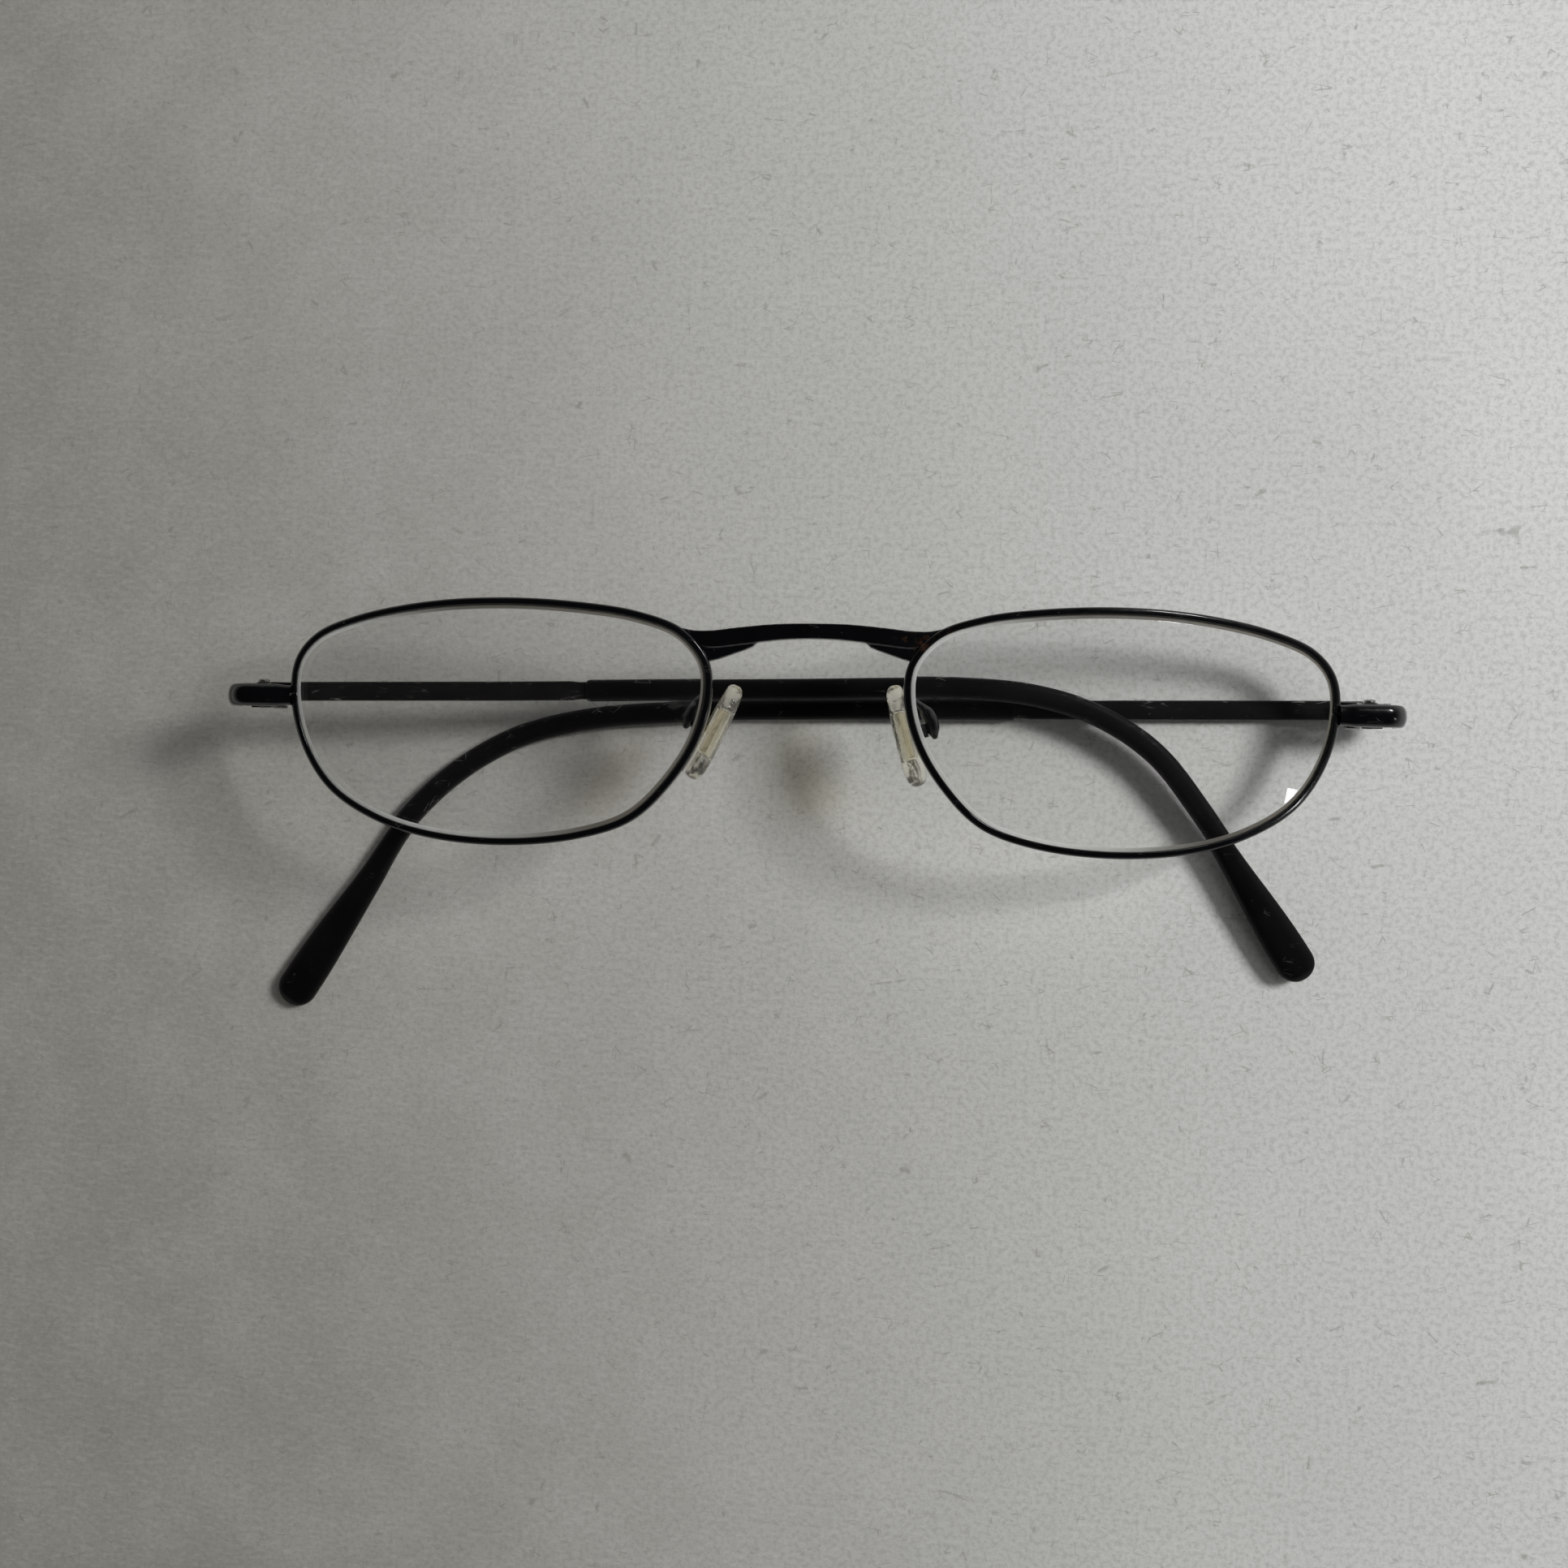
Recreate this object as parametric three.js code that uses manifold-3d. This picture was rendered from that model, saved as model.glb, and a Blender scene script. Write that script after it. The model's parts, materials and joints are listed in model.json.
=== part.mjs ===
// Folding reading glasses: a thin metal full-rim front, two clear lenses, adjustable nose pads
// and two hinged temples with plastic tips, shown folded. Millimetres, +Z up.
// The glasses lie on the outer temple, front upwards: +X runs along the front, +Y from the
// lower rims to the bridge. "left" is the -X side and "right" the +X side.

import * as THREE from 'three';
import { mergeVertices } from 'three/addons/utils/BufferGeometryUtils.js';
import Module from 'manifold-3d';

const wasm = await Module();
wasm.setup();

// ---------------------------------------------------------------- driving dimensions

const DEG = Math.PI / 180;

// Front
const LENS_SPACING = 68;           // between the two lens centres: 48 mm eye size + 20 mm bridge
const WRAP = 6 * DEG;              // each eye turns back this much towards its temple
const BASE_RADIUS = 106;           // radius of the lens front surface
const RIM_WIDTH = 0.8;             // rim wire seen from the front
const RIM_DEPTH = 1.9;             // rim wire front to back
const RIM_ROUND = 0.2;
const RIM_STEPS = 56;              // flats round one rim
const GROOVE_DEPTH = 0.35;
const GROOVE_WIDTH = 1.1;
const RIM_SPLIT = 0.3;             // cut in the rim at its closing block
const SPLIT_Y = 1.03;              // height of that cut and of the hinge line

// Bridge
const BRIDGE_Z = -0.55;            // middle of its thickness at the centre of the front
const BRIDGE_BOW = 240;            // it falls back towards the rims as x squared over this

// Lenses
const LENS_CENTRE_THICKNESS = 2.4;
const LENS_BACK_RADIUS = 184;      // flatter than the front, so the lens magnifies
const LENS_FRONT_RISE = 0.65;      // front surface above the middle of the rim groove
const LENS_WALL_INSET = 0.44;       // edge of the lens inside the rim centreline
const LENS_BEVEL_RISE = 0.32;      // V bevel that stands out of that edge into the groove
const LENS_BEVEL_TIP = 0.3;

// End pieces, closing blocks and hinges (right-hand side, mirrored for the left)
const END_INNER_X = 58.62;
const END_OUTER_X = 66.15;
const END_FRONT_Z = -4.7;
const END_REAR_Z = -8.4;
const END_THICKNESS = 1.3;
const END_HEIGHT = 2.5;
const END_DROP = 0.13;             // middle of the end piece below the rim split
const END_BEND_RADIUS = 2.6;
const PIN_X = 62.6;
const PIN_Z = -8.55;
const KNUCKLE_RADIUS = 0.9;
const HINGE_BORE = 0.46;
const HINGE_SHANK = 0.4;
const HINGE_TILT = 1.1 * DEG;      // the hinge pins lean this much in the plane of the front

// Temples
const ARM_OFFSET = 2.7;            // hinge pin to the middle of the arm's thickness
const ARM_HEIGHT = 2.15;
const ARM_THICKNESS = 1.0;
const TIP_THICKNESS = 2.0;
const TIP_HALF_HEIGHT = 1.22;      // before the tip widens into its paddle
const CORE_HEIGHT = 0.9;
const CORE_THICKNESS = 0.7;
const CORE_GAP = 0.3;
const BUTT = 0.15;                 // hinge pin to the end face of the arm

// Nose pads
const PAD_LENGTH = 11.6;
const PAD_WIDTH = 6.4;
const PAD_TOP_SHARE = 0.68;         // the upper end is narrower
const PAD_THICKNESS = 2.0;
const PAD_PIVOT = 1.75;            // rocking axis, behind the middle of the pad
const PAD_YAW = 14 * DEG;
const PAD_CENTRE_Y = -2.35;
const PAD_CENTRE_Z = -5.4;
const PAD_WIRE_RADIUS = 0.45;

// What differs between the two sides: how far the temple folds past parallel, how the tip is
// bent (distance along the temple, height above the hinge), how far from its end it widens and
// by how much, and how the pad is tilted.
const SIDES = [
  {
    name: 'left', sign: -1, fold: 0, padX: 10.4, padSplay: 26 * DEG, sleeveStart: 36.5,
    paddle: 18, swell: 0.95,
    route: [[0, 0.5], [30, 0.5], [60, 0.75], [80.8, 0.75], [88.8, -0.15], [95.4, -2.35],
      [101.6, -6.5], [106.7, -12.95], [112.3, -21.65], [117.7, -30.3]],
  },
  {
    name: 'right', sign: 1, fold: 4.6 * DEG, padX: 10.8, padSplay: 15.5 * DEG, sleeveStart: 38.7,
    paddle: 23.5, swell: 1.15,
    route: [[0, 0.7], [30, 0.85], [60, 1.1], [76.8, 0.95], [90.8, -0.05], [99, -2.25],
      [106.4, -6.6], [112.5, -12.55], [117.2, -19.55], [121.7, -26.05], [126.2, -32.65]],
  },
];

// One eye of the front, relative to its lens centre; the first number points to the temple.
const EYE_OUTLINE = [
  [24.1, 1.0], [23.6, 5.0], [21.3, 7.6], [16.4, 9.5], [8.1, 11.0], [-0.3, 11.45], [-8.8, 11.05],
  [-15.4, 10.1], [-20.1, 8.35], [-22.8, 5.2], [-23.2, 1.5], [-21.9, -3.4], [-18.9, -8.2],
  [-14.9, -12.0], [-9.2, -14.0], [-0.8, -14.9], [7.6, -14.3], [14.1, -12.45], [19.4, -9.2],
  [22.6, -4.6],
];

// ---------------------------------------------------------------- materials

const enamel = { color: 0x101012, roughness: 0.22, metalness: 0.4 };
const armPaint = { color: 0x141416, roughness: 0.5, metalness: 0.3 };
const tipPlastic = { color: 0x17181a, roughness: 0.55, metalness: 0 };
const steel = { color: 0x8d8b86, roughness: 0.35, metalness: 1 };
const lensPlastic = { color: 0xe8eef0, roughness: 0.05, metalness: 0, transparent: true, opacity: 0.35 };
const padVinyl = { color: 0xe6e2cf, roughness: 0.25, metalness: 0, transparent: true, opacity: 0.7 };
const insertPlastic = { color: 0xcfcab6, roughness: 0.4, metalness: 0 };

// ---------------------------------------------------------------- helpers

function toSolid(geometry) {
  const bare = geometry.clone();
  bare.deleteAttribute('normal');
  bare.deleteAttribute('uv');
  const merged = mergeVertices(bare, 1e-4);
  return new wasm.Manifold(new wasm.Mesh({
    numProp: 3,
    vertProperties: Float32Array.from(merged.attributes.position.array),
    triVerts: Uint32Array.from(merged.index.array),
  }));
}

function fromSolid(solid) {
  const mesh = solid.getMesh();
  const geometry = new THREE.BufferGeometry();
  geometry.setAttribute('position', new THREE.BufferAttribute(mesh.vertProperties, 3));
  geometry.setIndex(new THREE.BufferAttribute(mesh.triVerts, 1));
  return geometry;
}

function cut(geometry, ...tools) {
  return fromSolid(tools.reduce((solid, tool) => solid.subtract(toSolid(tool)), toSolid(geometry)));
}

function join(...geometries) {
  return fromSolid(geometries.map(toSolid).reduce((sum, solid) => sum.add(solid)));
}

function common(a, b) {
  return fromSolid(toSolid(a).intersect(toSolid(b)));
}

// A box given by its lowest and highest corners.
function block(low, high) {
  const size = high.map((value, i) => value - low[i]);
  const middle = high.map((value, i) => (value + low[i]) / 2);
  return new THREE.BoxGeometry(...size).translate(...middle);
}

// A cylinder along Y between two heights.
function post(radius, bottom, top, x = 0, z = 0, sides = 16) {
  const geometry = new THREE.CylinderGeometry(radius, radius, top - bottom, sides);
  return geometry.translate(x, (top + bottom) / 2, z);
}

// A screw along Y: shank up to the head, which is slotted.
function screw({ shank, head, bottom, underHead, headHeight }) {
  const slotTop = underHead + headHeight;
  const profile = [
    [0, bottom], [shank * 0.75, bottom], [shank, bottom + 0.12], [shank, underHead],
    [head, underHead], [head, slotTop - 0.08], [head - 0.08, slotTop], [0, slotTop],
  ].map(([r, y]) => new THREE.Vector2(r, y));
  const body = new THREE.LatheGeometry(profile, 12);
  return cut(body, block([-head - 1, slotTop - 0.14, -0.09], [head + 1, slotTop + 1, 0.09]));
}

// The same geometry on the other side of the middle plane.
function mirrored(geometry) {
  const copy = mergeVertices(geometry.clone().deleteAttribute('normal').deleteAttribute('uv'), 1e-4);
  copy.scale(-1, 1, 1);
  const index = copy.index.array;
  for (let i = 0; i < index.length; i += 3) {
    [index[i], index[i + 1]] = [index[i + 1], index[i]];
  }
  return copy;
}

function piece(side, name, geometry, look) {
  const shape = side.sign < 0 ? mirrored(geometry) : geometry;
  const mesh = new THREE.Mesh(shape, new THREE.MeshStandardMaterial(look));
  mesh.name = side.name ? `${side.name}_${name}` : name;
  return mesh;
}

// ---------------------------------------------------------------- eye outline and lens surface

const eyeCurve = new THREE.CatmullRomCurve3(
  EYE_OUTLINE.map(([u, v]) => new THREE.Vector3(u, v, 0)), true, 'centripetal');
const eyePoints = eyeCurve.getSpacedPoints(RIM_STEPS).slice(0, RIM_STEPS);

// The eye outline moved outwards by a distance, as points.
function eyeOffset(distance) {
  return eyePoints.map((point, i) => {
    const next = eyePoints[(i + 1) % RIM_STEPS];
    const last = eyePoints[(i + RIM_STEPS - 1) % RIM_STEPS];
    const along = next.clone().sub(last).normalize();
    return new THREE.Vector2(point.x + along.y * distance, point.y - along.x * distance);
  });
}

// Height of the middle of the rim groove; the rims' front faces touch z = 0 at the lens centres.
function surfaceZ(u, v) {
  return -RIM_DEPTH / 2 - u * Math.tan(WRAP) - (u * u + v * v) / (2 * BASE_RADIUS);
}

// Bend a flat piece of one eye to the lens surface and move it to its eye.
function drape(geometry) {
  const position = geometry.attributes.position;
  for (let i = 0; i < position.count; i += 1) {
    const u = position.getX(i);
    position.setZ(i, position.getZ(i) + surfaceZ(u, position.getY(i)));
  }
  return geometry.translate(LENS_SPACING / 2, 0, 0);
}

// ---------------------------------------------------------------- front

// Rim wire: a ring with a groove inside for the lens, split where the closing block joins it.
function rim() {
  const shape = new THREE.Shape(eyeOffset(RIM_WIDTH / 2));
  shape.holes.push(new THREE.Path(eyeOffset(-RIM_WIDTH / 2).reverse()));
  const ring = new THREE.ExtrudeGeometry(shape, {
    depth: RIM_DEPTH - 2 * RIM_ROUND, bevelEnabled: true, bevelThickness: RIM_ROUND,
    bevelSize: RIM_ROUND, bevelOffset: -RIM_ROUND, bevelSegments: 1,
  }).translate(0, 0, RIM_ROUND - RIM_DEPTH / 2);
  const groove = new THREE.ExtrudeGeometry(new THREE.Shape(eyeOffset(GROOVE_DEPTH - RIM_WIDTH / 2)), {
    depth: GROOVE_WIDTH, bevelEnabled: false,
  }).translate(0, 0, -GROOVE_WIDTH / 2);
  const split = block([20, SPLIT_Y - RIM_SPLIT / 2, -3], [27, SPLIT_Y + RIM_SPLIT / 2, 3]);
  return drape(cut(ring, groove, split));
}

// Lens: a round meniscus blank edged to the eye outline, with a V bevel that sits in the groove.
function lens() {
  const radii = [0, 8, 16, 27];
  const thinning = 1 / (2 * BASE_RADIUS) - 1 / (2 * LENS_BACK_RADIUS);
  const back = (r) => LENS_FRONT_RISE - LENS_CENTRE_THICKNESS + r * r * thinning;
  const profile = radii.map((r) => new THREE.Vector2(r, back(r)))
    .concat(radii.toReversed().map((r) => new THREE.Vector2(r, LENS_FRONT_RISE)));
  const blank = drape(new THREE.LatheGeometry(profile, 24).rotateX(Math.PI / 2));
  const wall = new THREE.ExtrudeGeometry(new THREE.Shape(eyeOffset(-LENS_WALL_INSET)), {
    depth: 2 * RIM_DEPTH + LENS_CENTRE_THICKNESS, bevelEnabled: false,
  }).translate(0, 0, -RIM_DEPTH - LENS_CENTRE_THICKNESS);
  const bevel = new THREE.ExtrudeGeometry(
    new THREE.Shape(eyeOffset(LENS_BEVEL_RISE - LENS_WALL_INSET)), {
      depth: LENS_BEVEL_TIP, bevelEnabled: true, bevelThickness: LENS_BEVEL_RISE,
      bevelSize: LENS_BEVEL_RISE, bevelOffset: -LENS_BEVEL_RISE, bevelSegments: 1,
    }).translate(0, 0, -LENS_BEVEL_TIP / 2);
  return common(blank, drape(join(wall, bevel)));
}

// Bridge: an arched bar brazed on a bracket at each rim; its ends are shaped to the rims.
function bridge() {
  const half = [[0, 9.45], [4, 9.37], [8, 9.02], [11, 8.7], [13, 8.75], [15.5, 9.4], [15.5, 6],
    [11.5, 5.3], [10, 5.65], [7.3, 6.6], [6.5, 6.85], [5.9, 7.4], [2.9, 7.7], [0, 7.8]];
  const outline = half.concat(half.slice(1, -1).reverse().map(([x, y]) => [-x, y]));
  const lean = 0.7 * DEG;
  const shape = new THREE.Shape(outline.map(([x, y]) => new THREE.Vector2(x + 0.3, y + x * lean)));
  const thickness = 1.8;
  const round = 0.3;
  const bar = new THREE.ExtrudeGeometry(shape, {
    depth: thickness - 2 * round, bevelEnabled: true, bevelThickness: round, bevelSize: round,
    bevelOffset: -round, bevelSegments: 2,
  }).translate(0, 0, round - thickness / 2);
  const position = bar.attributes.position;
  for (let i = 0; i < position.count; i += 1) {
    const x = position.getX(i);
    position.setZ(i, position.getZ(i) + BRIDGE_Z - x * x / BRIDGE_BOW);
  }
  const envelope = new THREE.ExtrudeGeometry(
    new THREE.Shape(eyeOffset(RIM_WIDTH / 2 + 0.15)), { depth: 12, bevelEnabled: false },
  ).translate(LENS_SPACING / 2, 0, -6);
  return cut(bar, envelope, mirrored(envelope));
}

// End piece: a flat bar that leaves the rim, turns back and ends at the hinge.
function endPiece() {
  const round = 0.6;
  const inner = END_OUTER_X - END_THICKNESS;
  const back = END_FRONT_Z - END_THICKNESS;
  const centreX = END_OUTER_X - END_BEND_RADIUS;
  const centreZ = END_FRONT_Z - END_BEND_RADIUS;
  const plan = new THREE.Shape();
  plan.moveTo(END_INNER_X, END_FRONT_Z);
  plan.lineTo(END_INNER_X, back);
  plan.lineTo(centreX, back);
  plan.absarc(centreX, centreZ, END_BEND_RADIUS - END_THICKNESS, Math.PI / 2, 0, true);
  plan.lineTo(inner, END_REAR_Z);
  plan.lineTo(END_OUTER_X, END_REAR_Z);
  plan.absarc(centreX, centreZ, END_BEND_RADIUS, 0, Math.PI / 2, false);
  return new THREE.ExtrudeGeometry(plan, {
    depth: END_HEIGHT - 2 * round, bevelEnabled: true, bevelThickness: round, bevelSize: round,
    bevelOffset: -round, bevelSegments: 3, curveSegments: 8,
  }).rotateX(Math.PI / 2).translate(0, SPLIT_Y - END_DROP + END_HEIGHT / 2 - round, 0);
}

const CLOSING_SCREW = { x: 60.2, z: -7.05 };

// Half of the closing block, above or below the rim split, bored for the closing screw.
function closingBlock(bottom, top) {
  const half = block([58.8, bottom, -7.9], [61.2, top, -6.2]);
  return cut(half, post(0.45, bottom - 1, top + 1, CLOSING_SCREW.x, CLOSING_SCREW.z, 12));
}

// Closing screw: enters from below and draws the two half blocks together.
function closingScrew() {
  const body = screw({ shank: 0.35, head: 0.85, bottom: -1.1, underHead: 1.25, headHeight: 0.35 });
  return body.rotateX(Math.PI).translate(CLOSING_SCREW.x, SPLIT_Y, CLOSING_SCREW.z);
}

// Fixed half of the hinge, about the pin: two knuckles on a leaf against the end piece.
function frontHinge() {
  const levels = [[0.55, 1.45], [-1.45, -0.55]];
  const parts = [block([1.05, -1.3, 0.15], [1.95, 1.3, 1.25])];
  for (const [bottom, top] of levels) {
    parts.push(post(KNUCKLE_RADIUS, bottom, top));
    parts.push(block([0, bottom, 0.15], [1.2, Math.min(top, 1.3), 0.75]));
  }
  return cut(join(...parts), post(HINGE_BORE, -2, 2));
}

function hingeScrew() {
  return screw({ shank: HINGE_SHANK, head: 0.64, bottom: -1.4, underHead: 1.5, headHeight: 0.32 });
}

// ---------------------------------------------------------------- temple
// A temple is drawn along +X from its hinge pin, with +Y up and +Z towards its outer face.

function routeCurve(side, offset = ARM_OFFSET) {
  return new THREE.CatmullRomCurve3(
    side.route.map(([s, y]) => new THREE.Vector3(s, y, offset)), false, 'centripetal');
}

// Rounded rectangle across the temple: x is its thickness, y its height.
function section(thickness, height, corner) {
  const x = thickness / 2;
  const y = height / 2;
  return new THREE.Shape([
    [x, y - corner], [x - corner, y], [corner - x, y], [-x, y - corner],
    [-x, corner - y], [corner - x, -y], [x - corner, -y], [x, corner - y],
  ].map(([a, b]) => new THREE.Vector2(a, b)));
}

// A bar of constant section along part of the route, between two shares of its length.
function along(curve, from, to, shape, steps) {
  const points = [];
  for (let i = 0; i <= steps; i += 1) {
    points.push(curve.getPointAt(from + (to - from) * i / steps));
  }
  const path = new THREE.CatmullRomCurve3(points, false, 'centripetal');
  return new THREE.ExtrudeGeometry(shape, { steps, extrudePath: path, bevelEnabled: false });
}

// Metal arm: a flat bar from the hinge to the tip, and the thin core that runs on inside the tip.
function templeArm(side) {
  const curve = routeCurve(side);
  const length = curve.getLength();
  const bar = along(curve, BUTT / length, side.sleeveStart / length,
    section(ARM_THICKNESS, ARM_HEIGHT, 0.25), 8);
  const core = along(curve, (side.sleeveStart - 1) / length, 0.9,
    section(CORE_THICKNESS, CORE_HEIGHT, 0.2), 18);
  return join(bar, core);
}

// Plastic tip: parallel along the arm and round the bend, then wider towards its round end.
function templeTip(side) {
  const curve = routeCurve(side);
  const length = curve.getLength();
  const start = (side.sleeveStart + CORE_GAP) / length;
  const steps = 24;
  const halfHeight = (t) => {
    const paddle = THREE.MathUtils.smoothstep(t * length, length - side.paddle, length - 0.8);
    return TIP_HALF_HEIGHT + side.swell * paddle;
  };
  const upper = [];
  const lower = [];
  for (let i = 0; i <= steps; i += 1) {
    const t = start + (1 - start) * i / steps;
    const point = curve.getPointAt(t);
    const tangent = curve.getTangentAt(t);
    const normal = new THREE.Vector2(-tangent.y, tangent.x).multiplyScalar(halfHeight(t));
    upper.push(new THREE.Vector2(point.x, point.y).add(normal));
    lower.push(new THREE.Vector2(point.x, point.y).sub(normal));
  }
  const end = curve.getPointAt(1);
  const heading = Math.atan2(curve.getTangentAt(1).y, curve.getTangentAt(1).x);
  const cap = [];
  for (let i = 1; i < 8; i += 1) {
    const angle = heading - Math.PI / 2 + Math.PI * i / 8;
    cap.push(new THREE.Vector2(end.x, end.y).add(
      new THREE.Vector2(Math.cos(angle), Math.sin(angle)).multiplyScalar(halfHeight(1))));
  }
  const round = 0.6;
  const outline = new THREE.Shape([...lower, ...cap, ...upper.reverse()]);
  const body = new THREE.ExtrudeGeometry(outline, {
    depth: TIP_THICKNESS - 2 * round, bevelEnabled: true, bevelThickness: round, bevelSize: round,
    bevelOffset: -round, bevelSegments: 2,
  }).translate(0, 0, ARM_OFFSET - TIP_THICKNESS / 2 + round);
  const channel = along(curve, start - 1 / length, 0.92,
    section(CORE_THICKNESS + 2 * CORE_GAP, CORE_HEIGHT + 2 * CORE_GAP, 0.3), 18);
  return cut(body, channel);
}

// Moving half of the hinge, about the pin: the middle knuckle on a leaf against the arm.
function templeHinge() {
  const middle = [-0.4, 0.4];
  const leaf = block([BUTT, -0.4, 1.1], [4.2, 1.4, 1.7]);
  const web = block([BUTT, middle[0], 0], [0.8, middle[1], 1.5]);
  return cut(join(leaf, web, post(KNUCKLE_RADIUS, ...middle)), post(HINGE_BORE, -2, 2));
}

// ---------------------------------------------------------------- nose pad
// A pad is drawn about its middle: +Y up along it, +Z to its front edge, +X to its mounting.

function padOutline(inset) {
  const half = PAD_LENGTH / 2 - inset;
  const top = PAD_TOP_SHARE * PAD_WIDTH / 2 - inset;
  const bottom = PAD_WIDTH / 2 - inset;
  const squareness = 0.8;
  const points = [];
  const steps = 24;
  for (let i = 0; i < steps; i += 1) {
    const angle = 2 * Math.PI * i / steps;
    const y = Math.sin(angle);
    const across = Math.cos(angle);
    const width = THREE.MathUtils.lerp(bottom, top, (y + 1) / 2);
    points.push(new THREE.Vector2(
      Math.sign(across) * Math.abs(across) ** squareness * width, y * half));
  }
  return points;
}

// Soft pad with a pocket in its mounting side for the insert.
function nosePad() {
  const round = 0.6;
  const body = new THREE.ExtrudeGeometry(new THREE.Shape(padOutline(0)), {
    depth: PAD_THICKNESS - 2 * round, bevelEnabled: true, bevelThickness: round, bevelSize: round,
    bevelOffset: -round, bevelSegments: 2,
  }).translate(0, 0, round - PAD_THICKNESS / 2).rotateY(Math.PI / 2);
  return cut(body, block([-0.35, -2.8, -1.6], [2, 2.8, 1.6]));
}

// Stiff insert: a plate in the pocket with a lug that the pad screw passes through.
function padInsert() {
  const plate = block([-0.05, -2.5, -1.3], [0.65, 2.5, 1.3]);
  const lug = block([0.5, -0.5, -0.35], [PAD_PIVOT + 0.45, 0.5, 0.35]);
  const bore = post(0.37, -1, 1, 0, 0, 12).rotateX(Math.PI / 2).translate(PAD_PIVOT, 0, 0);
  return cut(join(plate, lug), bore);
}

// Box on the end of the pad wire: two cheeks that hold the screw and the lug between them.
function padBox() {
  const parts = [block([PAD_PIVOT + 0.65, -0.75, -1], [PAD_PIVOT + 1, 0.75, 1])];
  for (const front of [0.57, -1]) {
    parts.push(block([PAD_PIVOT - 0.5, -0.75, front], [PAD_PIVOT + 0.8, 0.75, front + 0.43]));
  }
  const bore = post(0.37, -2, 2, 0, 0, 12).rotateX(Math.PI / 2).translate(PAD_PIVOT, 0, 0);
  return cut(join(...parts), bore);
}

function padScrew() {
  const body = screw({ shank: 0.3, head: 0.5, bottom: -1, underHead: 1.08, headHeight: 0.25 });
  return body.rotateX(Math.PI / 2).translate(PAD_PIVOT, 0, 0);
}

// Where the pad frame sits on the front, for the right-hand side.
function padMatrix(side) {
  const turn = new THREE.Quaternion().setFromEuler(new THREE.Euler(0, -PAD_YAW, side.padSplay, 'ZYX'));
  return new THREE.Matrix4().compose(
    new THREE.Vector3(side.padX, PAD_CENTRE_Y, PAD_CENTRE_Z), turn, new THREE.Vector3(1, 1, 1));
}

// Pad wire: from the back of the rim in a loop to the back of the pad box.
function padWire(side) {
  const matrix = padMatrix(side);
  const back = PAD_PIVOT + 1.15 + PAD_WIRE_RADIUS;
  const onBox = (y) => new THREE.Vector3(back, y, 0).applyMatrix4(matrix);
  const path = new THREE.CatmullRomCurve3([
    new THREE.Vector3(10.9, 1.8, -2.4), new THREE.Vector3(11.4, 1.7, -3.6),
    new THREE.Vector3(12.6, 1, -4.9), onBox(1.1), onBox(-0.1), onBox(-1.2),
  ], false, 'centripetal');
  const round = new THREE.Shape().absarc(0, 0, PAD_WIRE_RADIUS, 0, 2 * Math.PI);
  return new THREE.ExtrudeGeometry(round, {
    steps: 16, curveSegments: 5, extrudePath: path, bevelEnabled: false,
  });
}

// ---------------------------------------------------------------- assembly

const front = new THREE.Group();
const middle = { name: '', sign: 1 };
front.add(piece(middle, 'bridge', bridge(), enamel));

for (const side of SIDES) {
  front.add(
    piece(side, 'rim', rim(), enamel),
    piece(side, 'lens', lens(), lensPlastic),
    piece(side, 'end_piece', endPiece(), enamel),
    piece(side, 'closing_block_upper', closingBlock(SPLIT_Y + 0.15, SPLIT_Y + 1.4), enamel),
    piece(side, 'closing_block_lower', closingBlock(SPLIT_Y - 1.15, SPLIT_Y - 0.15), enamel),
    piece(side, 'closing_screw', closingScrew(), steel),
    piece(side, 'pad_wire', padWire(side), enamel),
  );

  const hinge = new THREE.Group();
  hinge.position.set(side.sign * PIN_X, SPLIT_Y, PIN_Z);
  hinge.rotation.z = HINGE_TILT;
  hinge.add(
    piece(side, 'front_hinge', frontHinge(), enamel),
    piece(side, 'hinge_screw', hingeScrew(), steel),
  );

  const temple = new THREE.Group();
  temple.rotation.y = side.sign * (Math.PI - side.fold);
  temple.add(
    piece(side, 'temple_hinge', templeHinge(), enamel),
    piece(side, 'temple_arm', templeArm(side), armPaint),
    piece(side, 'temple_tip', templeTip(side), tipPlastic),
  );
  hinge.add(temple);
  front.add(hinge);

  const pad = new THREE.Group();
  pad.position.set(side.sign * side.padX, PAD_CENTRE_Y, PAD_CENTRE_Z);
  pad.rotation.set(0, -side.sign * PAD_YAW, side.sign * side.padSplay, 'ZYX');
  pad.add(
    piece(side, 'nose_pad', nosePad(), padVinyl),
    piece(side, 'pad_insert', padInsert(), insertPlastic),
    piece(side, 'pad_box', padBox(), enamel),
    piece(side, 'pad_screw', padScrew(), steel),
  );
  front.add(pad);
}

// The outer temple lies flat, so the front leans by that temple's fold; the model then stands
// with the middle of its footprint at the origin.
front.rotation.y = SIDES[1].fold;
const glasses = new THREE.Group();
glasses.add(front);
const extent = new THREE.Box3().setFromObject(glasses, true);
const centre = extent.getCenter(new THREE.Vector3());
front.position.set(-centre.x, -centre.y, -extent.min.z);

export default glasses;
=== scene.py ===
import json
import math

import bmesh
import bpy
import numpy as np
from mathutils import Matrix, Vector


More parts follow.
